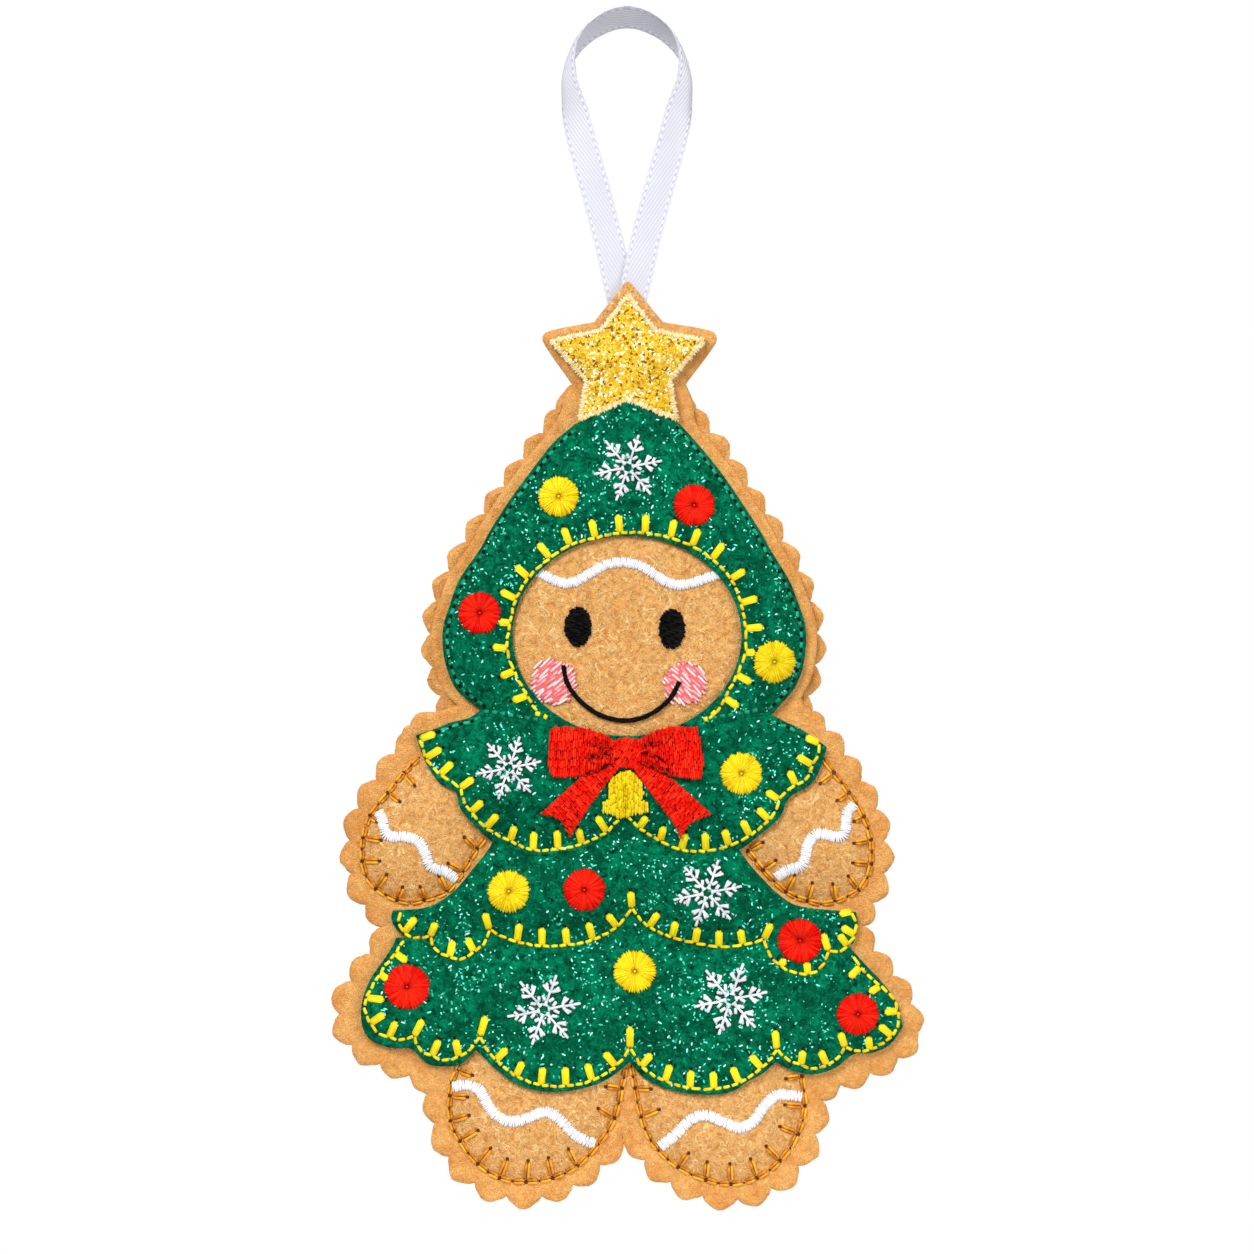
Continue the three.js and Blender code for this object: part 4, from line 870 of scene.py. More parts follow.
def cut_felt(outline, thickness, rim, spacing, hole=None):
    """A flat sheet cut to an outline: front edges rounded, front on y 0, and a fine grid of faces."""
    sheet = flat_ring(outline)
    if hole:
        sheet = join([sheet, flat_ring(hole)])
    bpy.ops.object.mode_set(mode="EDIT")
    bpy.ops.mesh.select_mode(type="FACE")
    bpy.ops.mesh.select_mode(type="EDGE")
    bpy.ops.mesh.select_all(action="SELECT")
    if hole:
        bpy.ops.mesh.fill(use_beauty=True)
    else:
        bpy.ops.mesh.edge_face_add()
    bpy.ops.object.mode_set(mode="OBJECT")
    towards_front = sum(face.normal.y * face.area for face in sheet.data.polygons) < 0
    if not towards_front:
        flip(sheet)
    bpy.ops.object.mode_set(mode="EDIT")
    bpy.ops.mesh.select_all(action="SELECT")
    for width, rise in rim:
        bpy.ops.mesh.inset(thickness=width, depth=rise)
    corners = metres(outline)
    for axis, normal in ((0, (1, 0, 0)), (1, (0, 0, 1))):
        low, high = corners[:, axis].min(), corners[:, axis].max()
        for line in np.arange(math.ceil(low / spacing), math.floor(high / spacing) + 1) * spacing:
            bpy.ops.mesh.select_all(action="SELECT")
            plane = [line * part for part in normal]
            bpy.ops.mesh.bisect(plane_co=plane, plane_no=normal, threshold=0.00005)
    bpy.ops.object.mode_set(mode="OBJECT")
    places = get_places(sheet)
    places[:, 1] += sum(rise for _, rise in rim)
    set_places(sheet, places)
    thicken(sheet, thickness, -1)
    return sheet


def lay(piece, level, side=front):
    """Bends a flat piece over the front or the back of the body."""
    places = get_places(piece)
    places[:, 1] = side(places[:, 0], places[:, 2], level - places[:, 1])
    set_places(piece, places)
    if side is back:
        flip(piece)


def cloth(piece, outline, hole_area=0.0):
    """Works out the flat area that a sheet was cut to, less its hole; nothing uses it."""
    points = metres(outline)
    flat_area = abs(area(points)) - hole_area


def mark_margin(piece):
    """Marks how far each point lies out on the flat margin, where felt is smoother, and rounds its edge."""
    places = get_places(piece)
    x, z = places[:, 0], places[:, 2]
    places[:, 1] += MARGIN_FALL * near(look_up(RIM_AWAY, x, z), FALL_REACH)
    set_places(piece, places)
    set_values(piece, "margin", look_up(PRESSED, x, z) / PRESS)


def tan_felts():
    rim = curve_through(STAR_BORDER, closed=False, corner=180, sharp=((663, 322), (594, 322)))[:-1]
    band = grown(HOOD, 11)
    left = curve_through([(572, 384.5), (564, 399), (560, 414)] + band[2:14] + [(446, 709)], closed=False)
    right = curve_through([(804, 705)] + band[24:36] + [(697, 425), (692.5, 404)], closed=False)
    felts = {
        "front_felt": (rim + left + scallops(NECK_LEFT, NECK_RIGHT) + right, front),
        "back_felt": (rim + scallops(0, len(LOBES))[:-1], back),
    }
    for name, (outline, side) in felts.items():
        piece = cut_felt(outline, FELT, TAN_RIM, FELT_GRID)
        mark_margin(piece)
        lay(piece, TAN_FACE, side)
        cloth(finish_piece(piece, f"{name}_cloth", "tan_felt", [name]), outline)


def filling():
    outline = curve_through(CORE, spacing=8)
    pad = cut_felt(outline, PAD, [(1 * MM, 0.3 * MM)], PAD_GRID)
    places = get_places(pad)
    x, y, z = places.T
    inner_front = front(x, z, PAD / 2) + 0.65 * MM
    inner_back = back(x, z, PAD / 2) - 0.25 * MM
    places[:, 1] = np.where(y < PAD / 2, inner_front, inner_back)
    set_places(pad, places)
    finish_piece(pad, "stuffing_pad", "stuffing_fibre", ["stuffing"])
    backing = cut_felt(outline, 0.15 * MM, [(0.2 * MM, 0.02 * MM)], PAD_GRID)
    lay(backing, 0.25 * MM)
    finish_piece(backing, "stabiliser_sheet", "stabiliser_fibre", ["stabiliser"])
    cloth(backing, outline)


def glitter_felts():
    pieces = {
        "star": STAR, "hood": HOOD_EDGE, "cape": CAPE_EDGE,
        "upper_skirt": UPPER_EDGE, "lower_skirt": LOWER_EDGE,
    }
    for name, points in pieces.items():
        hole, hole_area = (ellipse(*FACE_MIDDLE, *FACE_SIZE, 96), FACE_AREA) if name == "hood" else (None, 0)
        outline = curve_through(points, spacing=5, sharp=((575, 424), (680, 424)))
        piece = cut_felt(outline, GLITTER, GREEN_RIM, FELT_GRID, hole)
        lay(piece, GREEN_FACE)
        slot = "gold_glitter_felt" if name == "star" else "green_glitter_felt"
        finish_piece(piece, f"{name}_cloth", slot, [f"{name}_glitter_felt"])
        cloth(piece, outline, hole_area * DOT**2)


# Thread work. Places and widths of stitches are in picture dots, their heights in millimetres.
def make_strand():
    """One strand of thread, a unit long and wide, with drawn-in ends."""
    choose()
    bpy.ops.mesh.primitive_cylinder_add(vertices=6, radius=0.5, depth=1, rotation=(0, math.pi / 2, 0))
    strand = bpy.context.object
    bpy.ops.object.transform_apply(location=False, rotation=True, scale=False)
    bpy.ops.object.mode_set(mode="EDIT")
    for share in (-0.4, -0.14, 0.14, 0.4):
        bpy.ops.mesh.select_all(action="SELECT")
        bpy.ops.mesh.bisect(plane_co=(share, 0, 0), plane_no=(1, 0, 0), threshold=0.0001)
    bpy.ops.object.mode_set(mode="OBJECT")
    mesh = strand.data
    for side in (-1, 1):
        for vertex in mesh.vertices:
            vertex.select = vertex.co.x * side > 0.45
        for part in (*mesh.edges, *mesh.polygons):
            part.select = all(mesh.vertices[i].select for i in part.vertices)
        bpy.ops.object.mode_set(mode="EDIT")
        bpy.ops.transform.resize(value=(1, 0.38, 0.38))
        bpy.ops.object.mode_set(mode="OBJECT")
    mesh.polygons.foreach_set("use_smooth", [True] * len(mesh.polygons))
    for loop in mesh.loops:
        place = mesh.vertices[loop.vertex_index].co
        turn = math.atan2(place.z, place.y) / (2 * math.pi) % 1
        mesh.uv_layers.active.data[loop.index].uv = (place.x + 0.5, turn)
    set_values(strand, "shade", 0)
    return strand


STRAND = make_strand()
STRAND_SHAPE = get_places(STRAND)


def stitch(start, end, width, rise=0.3, low=0.0, far=None, thick=0.34, shade=None, narrow=1.0):
    """One strand from start to end. It lies low at its start, far high at its end, and rises between them."""
    return {
        "start": start, "end": end, "width": width, "narrow": narrow, "thick": thick,
        "rise": rise, "low": low, "far": low if far is None else far,
        "shade": random.uniform(0.3, 0.85) if shade is None else shade,
    }


def underlay(outline, level, thickness=0.3 * MM):
    """A thin raised ground under close stitches, in their own colour."""
    ground = cut_felt(outline, thickness, [(0.15 * MM, 0.1 * MM)], 1.6 * MM)
    lay(ground, level + thickness)
    set_values(ground, "shade", 0.24)
    return ground


def sew(node, slot, level, stitches, grounds=(), side=front):
    """Copies the strand once for each stitch, lays each on the cloth, and joins them in place of a node."""
    grounds = [underlay(outline, level) for outline in grounds]
    along, across, up = STRAND_SHAPE[:, 0] + 0.5, STRAND_SHAPE[:, 1], STRAND_SHAPE[:, 2]
    arch = np.sin(np.pi * np.clip(along, 0, 1)) ** 0.6
    copies = []
    for one in stitches:
        start, end = metres([one["start"], one["end"]])
        way, left = heading(start, end)
        width = one["width"] * DOT * (1 + (one["narrow"] - 1) * along)
        x, z = (start[i] + (end[i] - start[i]) * along + left[i] * across * width for i in (0, 1))
        lift = one["low"] + (one["far"] - one["low"]) * along + one["rise"] * arch + up * one["thick"]
        places = np.stack([x, side(x, z, level + lift * MM), z], axis=1)
        copies.append(copy_of(STRAND, places, one["shade"]))
    piece = join(copies + grounds)
    if side is back:
        flip(piece)
    name = node.replace("stitch", "thread") if "stitch" in node else f"{node}_thread"
    return finish_piece(piece, name, slot, [node], angle=80)


def satin_column(line, width, pitch, rise, jag):
    """Stitches side by side across a line."""
    total = length_of(line)
    count = max(1, round(total / pitch))
    found = []
    for k in range(count):
        place, along = walk(line, (k + 0.5) / count * total)
        normal = np.array([-along[1], along[0]])
        before = width / 2 + random.uniform(-jag, jag)
        beyond = width / 2 + random.uniform(-jag, jag)
        lean = along * random.uniform(-0.7, 0.7)
        found.append(stitch(
            place - normal * before + lean, place + normal * beyond - lean, pitch * 1.1,
            rise=rise + random.uniform(-0.05, 0.08), low=-0.05, shade=random.uniform(0.2, 1),
        ))
    return found


def bar(start, end):
    """A bar stitch of a few strands side by side, painted darker towards its sides, and the painted shadow of
    its needle hole.
    """
    along, normal = heading(start, end)
    found = []
    for k in range(BAR_STRANDS):
        share = (k + 0.5) / BAR_STRANDS - 0.5
        short = 2.8 * abs(2 * share) ** 2
        offset = normal * BAR_WIDTH * share
        # Outer strands get a darker shade: painted shade on the bar's rounded sides.
        found.append(stitch(
            start + offset * 0.86 + along * (0.4 * short + random.uniform(-0.6, 0.4)),
            end + offset - along * (short + random.uniform(-0.4, 0.5)),
            BAR_WIDTH / BAR_STRANDS * 1.4, rise=0.38 - 0.2 * abs(2 * share), low=-0.06,
            shade=random.uniform(0.7, 1) - 0.35 * abs(2 * share),
        ))
    # A flat dark strand past the tip: the painted shadow of the needle hole.
    hole = end + along * 1.2
    return found + [stitch(hole - normal * 1.7, hole + normal * 1.7, 3.4, rise=0.03, thick=0.05, shade=0)]


def dashes(line, start, end, length, width, strands=1, rise=0.2, fill=0.84, holes=False):
    """Short stitches along a line between two of its distances, which they fill to a share."""
    found = []
    count = max(1, round((end - start) / length))
    step = (end - start) / count
    for k in range(count):
        first, last = (walk(line, start + (k + 0.5 + way * fill / 2) * step)[0] for way in (-1, 1))
        normal = heading(first, last)[1]
        lean = normal * random.uniform(-0.8, 0.8)
        for j in range(strands):
            offset = normal * width * ((j + 0.5) / strands - 0.5)
            ends = first + offset + lean, last + offset - lean
            found.append(stitch(*ends, width / strands * 1.3, rise, low=-0.08))
        if holes:
            # A flat dark strand across each gap: the shadow of a needle hole, painted.
            gap = walk(line, start + (k + 1) * step)[0]
            ends = gap - normal * 1.6, gap + normal * 1.6
            found.append(stitch(*ends, 3.6, rise=0.04, low=0.02, thick=0.06, shade=0))
    return found


def stops_on(table):
    """A table's smooth line, and the spans between its ends and the feet of its bar stitches."""
    line = curve_through(table, closed=False, spacing=3)
    run = lengths_along(line)[2]
    feet = [entry[:2] for entry in table if len(entry) == 4]
    at_feet = {far for far, point in zip(run, line) if any(math.dist(foot, point) < 1e-6 for foot in feet)}
    stops = sorted({run[0], run[-1]} | at_feet)
    return line, zip(stops, stops[1:])


def blanket(table):
    """A line of short yellow stitches, with bars that stand on it."""
    line, spans = stops_on(table)
    stitches = []
    for start, end in spans:
        if end - start > BLANKET_DASH / 2:
            stitches += dashes(line, start, end, BLANKET_DASH, width=2.3)
    for entry in table:
        if len(entry) == 4:
            stitches += bar(entry[:2], entry[2:])
    return stitches


def pair(start, end, apart=1.45):
    """Two strands of gold side by side, one painted in shade and one lit, over a dark strand painted as the
    shadow between them.
    """
    along, normal = heading(start, end)
    found = [stitch(start - along * 0.6, end + along * 0.6, 6.6, rise=0.06, low=-0.06, thick=0.1, shade=0.12)]
    for way, shade in ((-1, random.uniform(0.3, 0.55)), (1, random.uniform(0.6, 0.95))):
        shift, lean = normal * way * apart, normal * random.uniform(-0.4, 0.4)
        found.append(stitch(start + shift + lean, end + shift - lean, 2.8, rise=0.26, thick=0.4, shade=shade))
    return found


def pit_shadow(place, size):
    """The painted shadow of a needle hole: a flat strand in the thread's darkest colour."""
    reach = np.array([size / 2, 0])
    return stitch(place - reach, place + reach, size, rise=0.04, low=0.03, thick=0.05, shade=0)


def gold_line(table):
    """Two-strand gold stitches with the painted shadows of needle holes between them, and with bars."""
    line, spans = stops_on(table)
    stitches = []
    for start, end in spans:
        if end - start > 5:
            count = max(1, round((end - start) / GOLD_DASH))
            step = (end - start) / count
            for k in range(count):
                places = [walk(line, start + (k + share) * step)[0] for share in (0, 0.08, 0.92)]
                stitches += [*pair(*places[1:]), pit_shadow(places[0], 2.4)]
    for entry in table:
        if len(entry) == 4:
            base, tip = np.array(entry[:2]), np.array(entry[2:])
            along = heading(base, tip)[0]
            stitches += [*pair(base + along * 2.6, tip, 1.6), pit_shadow(base, 4.2), pit_shadow(tip + along * 1.2, 3.2)]
    return stitches


def rows(outline, angle, pitch, length, width, rise=0.3, low=0.0, gap=0.8, jag=0.6, lean=0.25, slit_shadows=0.0):
    """Fills an outline with rows of stitches at an angle, the breaks staggered from row to row."""
    along, normal = directions(angle)
    run, side = np.array(outline, float) @ along, np.array(outline, float) @ normal
    found = []
    row = side.min() + pitch / 2
    while row < side.max():
        cuts = sorted(
            run[j] + (run[i] - run[j]) * (row - side[j]) / (side[i] - side[j])
            for i, j in ((i, i - 1) for i in range(len(run))) if (side[i] > row) != (side[j] > row)
        )
        for first, last in zip(cuts[::2], cuts[1::2]):
            first, last = first + random.uniform(-jag, jag * 0.7), last + random.uniform(-jag * 0.7, jag)
            stops = [first]
            mark = first + random.uniform(0.25, 1.0) * length
            while mark < last - length * 0.3:
                if mark > first + length * 0.25:
                    stops.append(mark)
                mark += length * random.uniform(0.85, 1.15)
            stops.append(last)
            for start, end in zip(stops, stops[1:]):
                a = along * (start + gap / 2) + normal * (row + random.uniform(-lean, lean))
                b = along * (end - gap / 2) + normal * (row + random.uniform(-lean, lean))
                near_lift, far_lift = (low(*a), low(*b)) if callable(low) else (low, low)
                found.append(stitch(a, b, width, rise, near_lift, far_lift))
                # A flat dark strand between rows: a painted shadow in the slit between threads.
                if start > first and random.random() < slit_shadows:
                    slit = along * start + normal * (row + pitch / 2)
                    ends = slit - along * 1.8, slit + along * 1.8
                    found.append(stitch(*ends, 1.3, rise=0.02, low=near_lift + rise, thick=0.16, shade=0.04))
        row += pitch
    return found


def edge_threads():
    star = curve_through(grown(STAR, -2.2), spacing=3, corner=20)
    column = satin_column(star + star[:1], 5.4, pitch=1.6, rise=0.14, jag=1.2)
    sew("star_edge_stitch", "cream_thread", GREEN_FACE, column)
    hood, cape = grown(HOOD, -4.6), grown(CAPE, -4)
    runs = {"hood_running_stitch_left": hood[1:15], "hood_running_stitch_right": hood[22:],
            "cape_running_stitch_left": cape[0:4], "cape_running_stitch_right": cape[28:31]}
    for name, points in runs.items():
        line = curve_through(points, closed=False, spacing=3)
        stitches = dashes(line, 0, length_of(line), length=10.5, width=2.4, rise=0.1, fill=0.62, holes=True)
        if name in NECK_STITCHES:
            crossing = curve_through(NECK_STITCHES[name], closed=False)
            stitches += dashes(crossing, 0, 58, length=8.5, width=2.8, rise=0.14, fill=0.7)
        sew(name, "green_thread", GREEN_FACE, stitches)


def line_threads():
    lines = {"face": FACE_LINE, "cape": CAPE_LINE, "upper_skirt": UPPER_LINE, "lower_skirt": LOWER_LINE}
    for name, table in lines.items():
        stitches = blanket(table)
        if name == "face":
            stitches += [stitch(*ends, 4.6, rise=0.3, shade=0.7) for ends in FACE_KNOTS]
        sew(f"{name}_blanket_stitch", "yellow_thread", GREEN_FACE, stitches)
    lines = {"hand_stitch_left": HAND_LEFT, "hand_stitch_right": HAND_RIGHT,
             "foot_stitch_left": FOOT_LEFT, "foot_stitch_right": FOOT_RIGHT}
    for name, table in lines.items():
        sew(name, "gold_thread", TAN_FACE, gold_line(table))
    for name, points in ICING.items():
        line = curve_through(points, closed=False, spacing=2, corner=75)
        width = 10.6 if name == "forehead_icing" else 11.4
        stitches = satin_column(line, width, pitch=1.8, rise=0.36, jag=0.6)
        for one in stitches:
            one["shade"] = random.uniform(0.45, 1)
        sew(name, "white_thread", TAN_FACE, stitches)


def face_threads():
    for name, place in EYES.items():
        oval = ellipse(*place, 13.9, 20, 40)
        stitches = rows(oval, 8, pitch=2.2, length=14, width=2.5, rise=0.45, jag=1.1)
        sew(name, "black_thread", TAN_FACE, stitches, [ellipse(*place, 11.5, 18, 24)])
    for name, (place, radius, angle) in CHEEKS.items():
        disc, ground = (ellipse(*place, size, size, 24) for size in (radius, radius - 3))
        stitches = rows(
            disc, angle, pitch=3.3, length=16, width=2.5, rise=0.2, low=0.12, gap=1.4, jag=2.2, lean=1.4,
        )
        for one in stitches:
            one["shade"] = random.choice([0.3, 0.5, 0.7, 0.9, 1.0])
        sew(name, "pink_thread", TAN_FACE, stitches, [ground])
    line = curve_through(SMILE, closed=False, spacing=2)
    stitches = []
    for k in range(3):
        for start in np.arange(-4 * k, length_of(line), 12):
            first, last = walk(line, start)[0], walk(line, start + 15)[0]
            shift = heading(first, last)[1] * (k - 1) * 1.25
            ends, shade = (first + shift, last + shift), random.uniform(0.3, 0.6)
            stitches.append(stitch(*ends, 2.3, rise=0.25, low=0.12, thick=0.4, shade=shade))
    sew("smile", "black_thread", TAN_FACE + 0.1 * MM, stitches)


def bauble(x, y, radius=21.2):
    """Threads that run in from the rim to the middle."""
    stitches = []
    for k in range(BAUBLE_STRANDS):
        way = directions(360 * (k + random.uniform(-0.2, 0.2)) / BAUBLE_STRANDS)[0]
        outer, inner = radius + random.uniform(-1.3, 1.1), (1.6, 7.5, 3.4, 9.5)[k % 4]
        ends = (x, y) + way * outer, (x, y) + way * inner
        rise = 0.34 + random.uniform(-0.04, 0.06)
        stitches.append(stitch(*ends, 1.95, rise, low=0.0, far=0.32, narrow=0.35))
    return stitches + [stitch((x - 1.2, y), (x + 1.2, y), 2.4, rise=0.1, low=0.38, shade=0.9)]


def snowflake(x, y, reach):
    """Branched arms, scaled from the strokes of one."""
    size = reach / SNOWFLAKE_REACH
    stitches = []
    for k in range(SNOWFLAKE_ARMS):
        way, side = directions(360 / SNOWFLAKE_ARMS * k + SNOWFLAKE_TURN)
        for (a, b), (c, d), width in SNOWFLAKE_ARM:
            jog = random.uniform(-0.6, 0.6)
            ends = ((x, y) + (way * p + side * q) * size for p, q in ((a, b + jog / 2), (c + jog, d + jog)))
            shade = random.uniform(0.25, 0.95)
            stitches.append(stitch(*ends, width * size * 0.92, rise=0.2, low=0.06, thick=0.4, shade=shade))
    return stitches


def bow_height(x, y):
    """How high the bow's threads lie: lower near a crease."""
    deep = math.inf
    for crease in CREASES:
        for start, end in zip(crease, crease[1:]):
            way = np.subtract(end, start)
            share = min(max((x - start[0], y - start[1]) @ way / (way @ way), 0), 1)
            deep = min(deep, math.dist((x, y), start + way * share))
    return BOW_HEIGHT - CREASE_DEPTH * near(deep, CREASE_WIDTH)


def bow_part(name, outline, angle, creases):
    stitches = rows(
        outline, angle, pitch=2.0, length=9, width=2.2,
        rise=0.22, low=bow_height, gap=-0.8, jag=0.8, lean=0.5, slit_shadows=0.22,
    )
    # Strands that lie low in a crease get a darker shade: painted shade in the folds.
    for one in stitches:
        if one["shade"] > 0.1:
            if bow_height(*(one["start"] + one["end"]) / 2) < FOLDED:
                one["shade"] = random.uniform(0.16, 0.4)
            else:
                one["shade"] = random.choice((0.34, 0.45, 0.55, 0.7, 0.95))
    # Dark strokes along each crease: painted crease shadows.
    for crease in creases:
        line = curve_through(crease, closed=False, spacing=1)
        for k in range(int(length_of(line) / CREASE_STEP)):
            jog = np.array([random.uniform(-0.5, 0.5), random.uniform(-1.1, 1.1)])
            ends = (walk(line, k * CREASE_STEP + on)[0] + jog for on in (0.2, 4.2))
            width, shade = random.uniform(1.4, 3.2), random.choice((0.05, 0.105, 0.12))
            stitches.append(stitch(*ends, width, rise=0.05, low=0.86, thick=0.16, shade=shade))
    sew(name, "red_thread", GREEN_FACE, stitches, [turned_left(outline)])


def trims():
    for name, (x, y, *radius) in BAUBLES.items():
        slot = "red_thread" if name.endswith("red") else "yellow_thread"
        sew(name, slot, GREEN_FACE, bauble(x, y, *radius), [ellipse(x, y, 18.5, 18.5, 32)])
    for name, place in SNOWFLAKES.items():
        sew(name, "white_thread", GREEN_FACE, snowflake(*place))
    creases = {"bow_loop_left": CREASES[:3], "bow_loop_right": CREASES[3:]}
    for (name, outline), angle in zip(BOW.items(), BOW_ANGLES):
        bow_part(name, outline, angle, creases.get(name, []))
    stitches = rows(BELL, 90, pitch=1.9, length=10, width=2.1, rise=0.2, low=0.3, gap=-0.8, jag=1.2, lean=0.4)
    for y in range(783, 808, 4):
        stitches.append(stitch((625, y), (625.8, y + 1.4), 1.9, rise=0.2, low=0.42, shade=0.12))
    sew("bell", "yellow_thread", GREEN_FACE, stitches, [turned_left(BELL)])


def glitter():
    """Loose grains of glitter on the green felts, in clusters, so many to a thousand square dots."""
    choose()
    bpy.ops.mesh.primitive_ico_sphere_add(subdivisions=1, radius=0.5)
    grain = bpy.context.object
    shape = get_places(grain)
    beds = {"hood": (HOOD, 17), "cape": (CAPE_EDGE, 15),
            "upper_skirt": (UPPER_EDGE, 15), "lower_skirt": (LOWER_EDGE, 17)}
    for name, (points, density) in beds.items():
        bed = metres(grown(points, -3.5))
        (x_low, z_low), (x_high, z_high) = bed.min(axis=0), bed.max(axis=0)
        wanted = int((abs(area(bed)) / DOT**2 - (FACE_AREA if name == "hood" else 0)) * density / 1000)
        copies = []
        while len(copies) < wanted:
            x0, z0 = random.uniform(x_low, x_high), random.uniform(z_low, z_high)
            for _ in range(random.choice((1, 1, 2, 3, 4, 6))):
                x, z = x0 + random.gauss(0, CLUSTER), z0 + random.gauss(0, CLUSTER)
                from_face = np.subtract((x, z), at(*FACE_MIDDLE)) / FACE_SIZE / DOT
                in_face = name == "hood" and np.linalg.norm(from_face) < 1.03
                if in_face or not inside(bed, np.array([x]), np.array([z]))[0]:
                    continue
                wide = random.uniform(1.3, 2.2)
                long = wide * random.choice((1.0, 1.2, 1.4, 1.9, 2.6))
                turn = random.uniform(0, math.pi)
                a, b = shape[:, 0] * long * DOT, shape[:, 1] * wide * DOT
                grain_x = x + a * math.cos(turn) - b * math.sin(turn)
                grain_z = z + a * math.sin(turn) + b * math.cos(turn)
                grain_y = front(grain_x, grain_z, GREEN_FACE) - (0.03 + shape[:, 2] * 0.22) * MM
                places = np.stack([grain_x, grain_y, grain_z], axis=1)
                # A random shade per flake: the brighter ones are coloured as painted glints.
                copies.append(copy_of(grain, places, random.uniform(0, 1)))
        grains = join(copies)
        finish_piece(grains, f"{name}_glitter_grains", "green_glitter_felt", [], look="glitter_flakes")
    bpy.data.objects.remove(grain)


def back_seam():
    line = curve_through(BACK_SEAM, spacing=4)
    line += line[:1]
    stitches = dashes(line, 0, length_of(line), length=16, width=3.4, strands=2, fill=0.88)
    sew("back_seam_stitch", "white_thread", TAN_FACE, stitches, side=back)


# The ribbon, in metres
RIBBON_WIDTH, RIBBON_THICKNESS, TAIL = 5 * MM, 0.2 * MM, 9 * MM
LOOP_RADIUS, LEG_SPACING, LEG_SHIFT, HINGE = 9.67 * MM, 3.8 * MM, 0.2 * MM, -41.4 * MM
# How far the strap is turned from face-on, in degrees, at shares of the way down from the loop's top
TURNS = [(0, 48), (0.17, 64), (0.29, 60), (0.36, 48), (0.43, 34), (0.52, 18), (0.66, 0), (1, 0), (1.5, 0)]
# How the section turns from its near edge to its far edge, in degrees, at such shares
SECTION = [
    (-1, 48), (0, 48), (0.1, 54), (0.2, 66), (0.24, 75), (0.27, 90), (0.31, 125), (0.36, 148), (0.45, 161),
    (0.6, 176), (0.7, 180), (2, 180),
]
# How far, in millimetres, its outer edge lies outside a plain loop there
SHAPE = [
    (0, 0), (0.05, -0.05), (0.1, -0.22), (0.18, -0.44), (0.23, -0.6), (0.26, -0.52), (0.3, -0.36),
    (0.34, -0.2), (0.385, 0), (0.43, 0.22), (0.47, 0.3), (0.55, 0.2), (0.65, 0), (0.76, -0.12),
    (0.88, -0.25), (1, -0.1), (2, 0),
]
COLUMNS, ROWS = 24, 260
# How far the turn of one edge leads, a share of the way that it grows to at another share
LEAD, LEAD_FULL = 0.137, 0.12


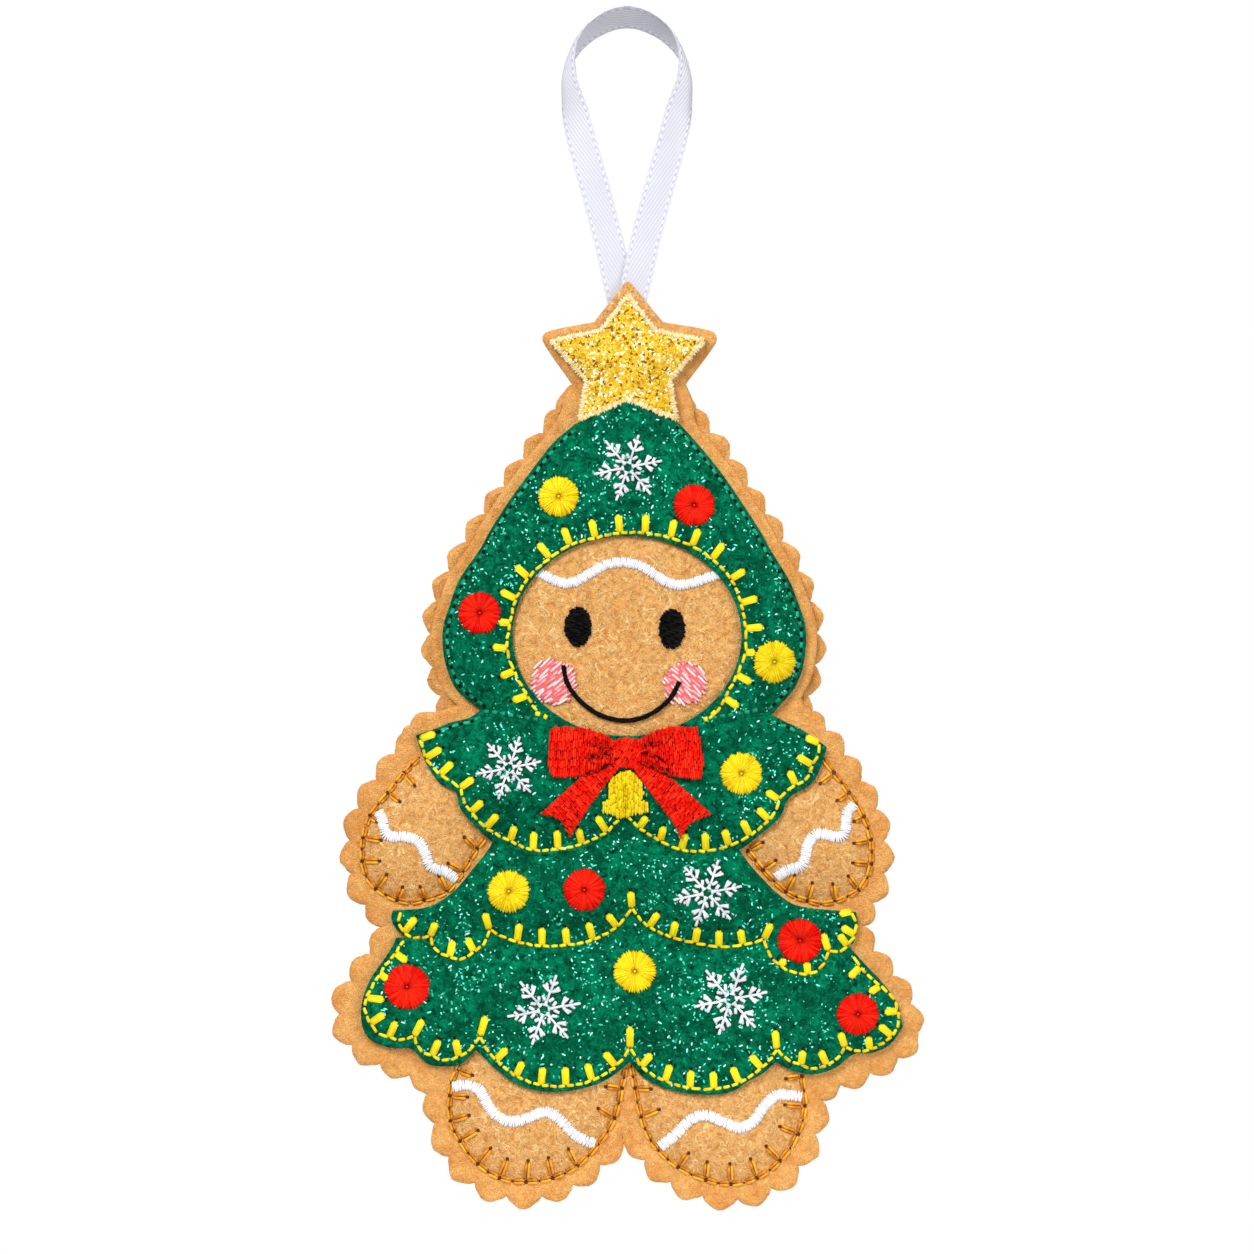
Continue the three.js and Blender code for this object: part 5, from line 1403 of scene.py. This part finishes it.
def ribbon():
    """One strap from tail to tail over the loop, turned on its way as satin ribbon turns."""
    centre = RIBBON_WIDTH / 2 * math.cos(math.radians(TURNS[0][1])) - LOOP_RADIUS
    reach = math.hypot(LEG_SPACING / 2, centre - HINGE)
    lean = math.asin(LOOP_RADIUS / reach) - math.atan2(LEG_SPACING / 2, centre - HINGE)
    arc_length = LOOP_RADIUS * (math.pi / 2 + lean)
    leg = math.sqrt(reach**2 - LOOP_RADIUS**2)
    half = arc_length + leg
    choose()
    bpy.ops.mesh.primitive_grid_add(x_subdivisions=COLUMNS, y_subdivisions=ROWS, size=1, calc_uvs=True)
    strap = bpy.context.object
    flat = get_places(strap)
    column = np.round((flat[:, 0] + 0.5) * COLUMNS).astype(int)
    run = flat[:, 1] * 2 * (half + TAIL)
    side, distance = np.where(run < 0, -1, 1), np.abs(run)
    arc, rest = np.minimum(distance, arc_length) / LOOP_RADIUS, np.maximum(distance - arc_length, 0)
    share = distance / half
    lead = LEAD * np.clip(share / LEAD_FULL, 0, 1)
    offset, depth = np.zeros((2, len(share), COLUMNS + 1))
    for k in range(COLUMNS):
        turn = np.radians(np.interp(share + lead * (1 - 2 * (k + 0.5) / COLUMNS), *zip(*SECTION)))
        offset[:, k + 1] = offset[:, k] - np.cos(turn) * RIBBON_WIDTH / COLUMNS
        depth[:, k + 1] = depth[:, k] + np.sin(turn) * RIBBON_WIDTH / COLUMNS
    edge = RIBBON_WIDTH / 2 * np.cos(np.radians(np.interp(share, *zip(*TURNS))))
    edge += np.interp(share, *zip(*SHAPE)) * MM
    offset += (edge - offset.max(axis=1))[:, None]
    depth -= depth.mean(axis=1)[:, None]
    row = np.arange(len(share))
    out = LOOP_RADIUS + offset[row, column]
    x = side * (np.sin(arc) * out + np.cos(arc) * rest)
    y = depth[row, column] - side * LEG_SHIFT * np.minimum(rest / leg, 1)
    z = centre + np.cos(arc) * out - np.sin(arc) * rest
    set_places(strap, np.stack([x, y, z], axis=1))
    for loop in strap.data.loops:
        i = loop.vertex_index
        strap.data.uv_layers.active.data[loop.index].uv = (column[i] / COLUMNS, distance[i] / RIBBON_WIDTH)
    thicken(strap, RIBBON_THICKNESS, 0)
    nodes = ["ribbon_loop", "ribbon_tail_left", "ribbon_tail_right"]
    finish_piece(strap, "ribbon_strap", "satin_ribbon", nodes, None, 75)
    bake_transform(strap)


# Surroundings
def studio():
    world = bpy.data.worlds.new("studio")
    bpy.context.scene.world = world
    world.use_nodes = True
    nodes, links = world.node_tree.nodes, world.node_tree.links
    glow, seen = nodes["Background"], nodes.new("ShaderNodeBackground")
    glow.inputs["Strength"].default_value = SKY
    glow.inputs["Color"].default_value = seen.inputs["Color"].default_value = (1, 1, 1, 1)
    choice, path = nodes.new("ShaderNodeMixShader"), nodes.new("ShaderNodeLightPath")
    links.new(path.outputs["Is Camera Ray"], choice.inputs[0])
    links.new(glow.outputs[0], choice.inputs[1])
    links.new(seen.outputs[0], choice.inputs[2])
    links.new(choice.outputs[0], nodes["World Output"].inputs["Surface"])
    for location, size, power in LAMPS:
        bpy.ops.object.light_add(type="AREA", location=location)
        lamp = bpy.context.object
        lamp.data.size, lamp.data.energy = size, power
        aim = np.subtract((0, 0, -0.1), location)
        tilt = math.acos(-aim[2] / np.linalg.norm(aim))
        lamp.rotation_euler = (tilt, 0, math.atan2(aim[1], aim[0]) - math.pi / 2)
    bpy.context.scene.view_settings.view_transform = "Standard"
    choose()
    bpy.ops.mesh.primitive_circle_add(vertices=64, radius=0.09, fill_type="NGON", location=(0, 0, FLOOR))
    floor = bpy.context.object
    floor.name = "floor"
    pale = Finish("pale_floor", 0.8)
    pale.layers(pale.mix(pale.noise(14, 3), (236, 236, 236), (244, 244, 244)))
    floor.data.materials.append(pale.material)


tan_felts()
filling()
glitter_felts()
edge_threads()
line_threads()
face_threads()
trims()
glitter()
back_seam()
ribbon()
bpy.data.objects.remove(STRAND)
studio()
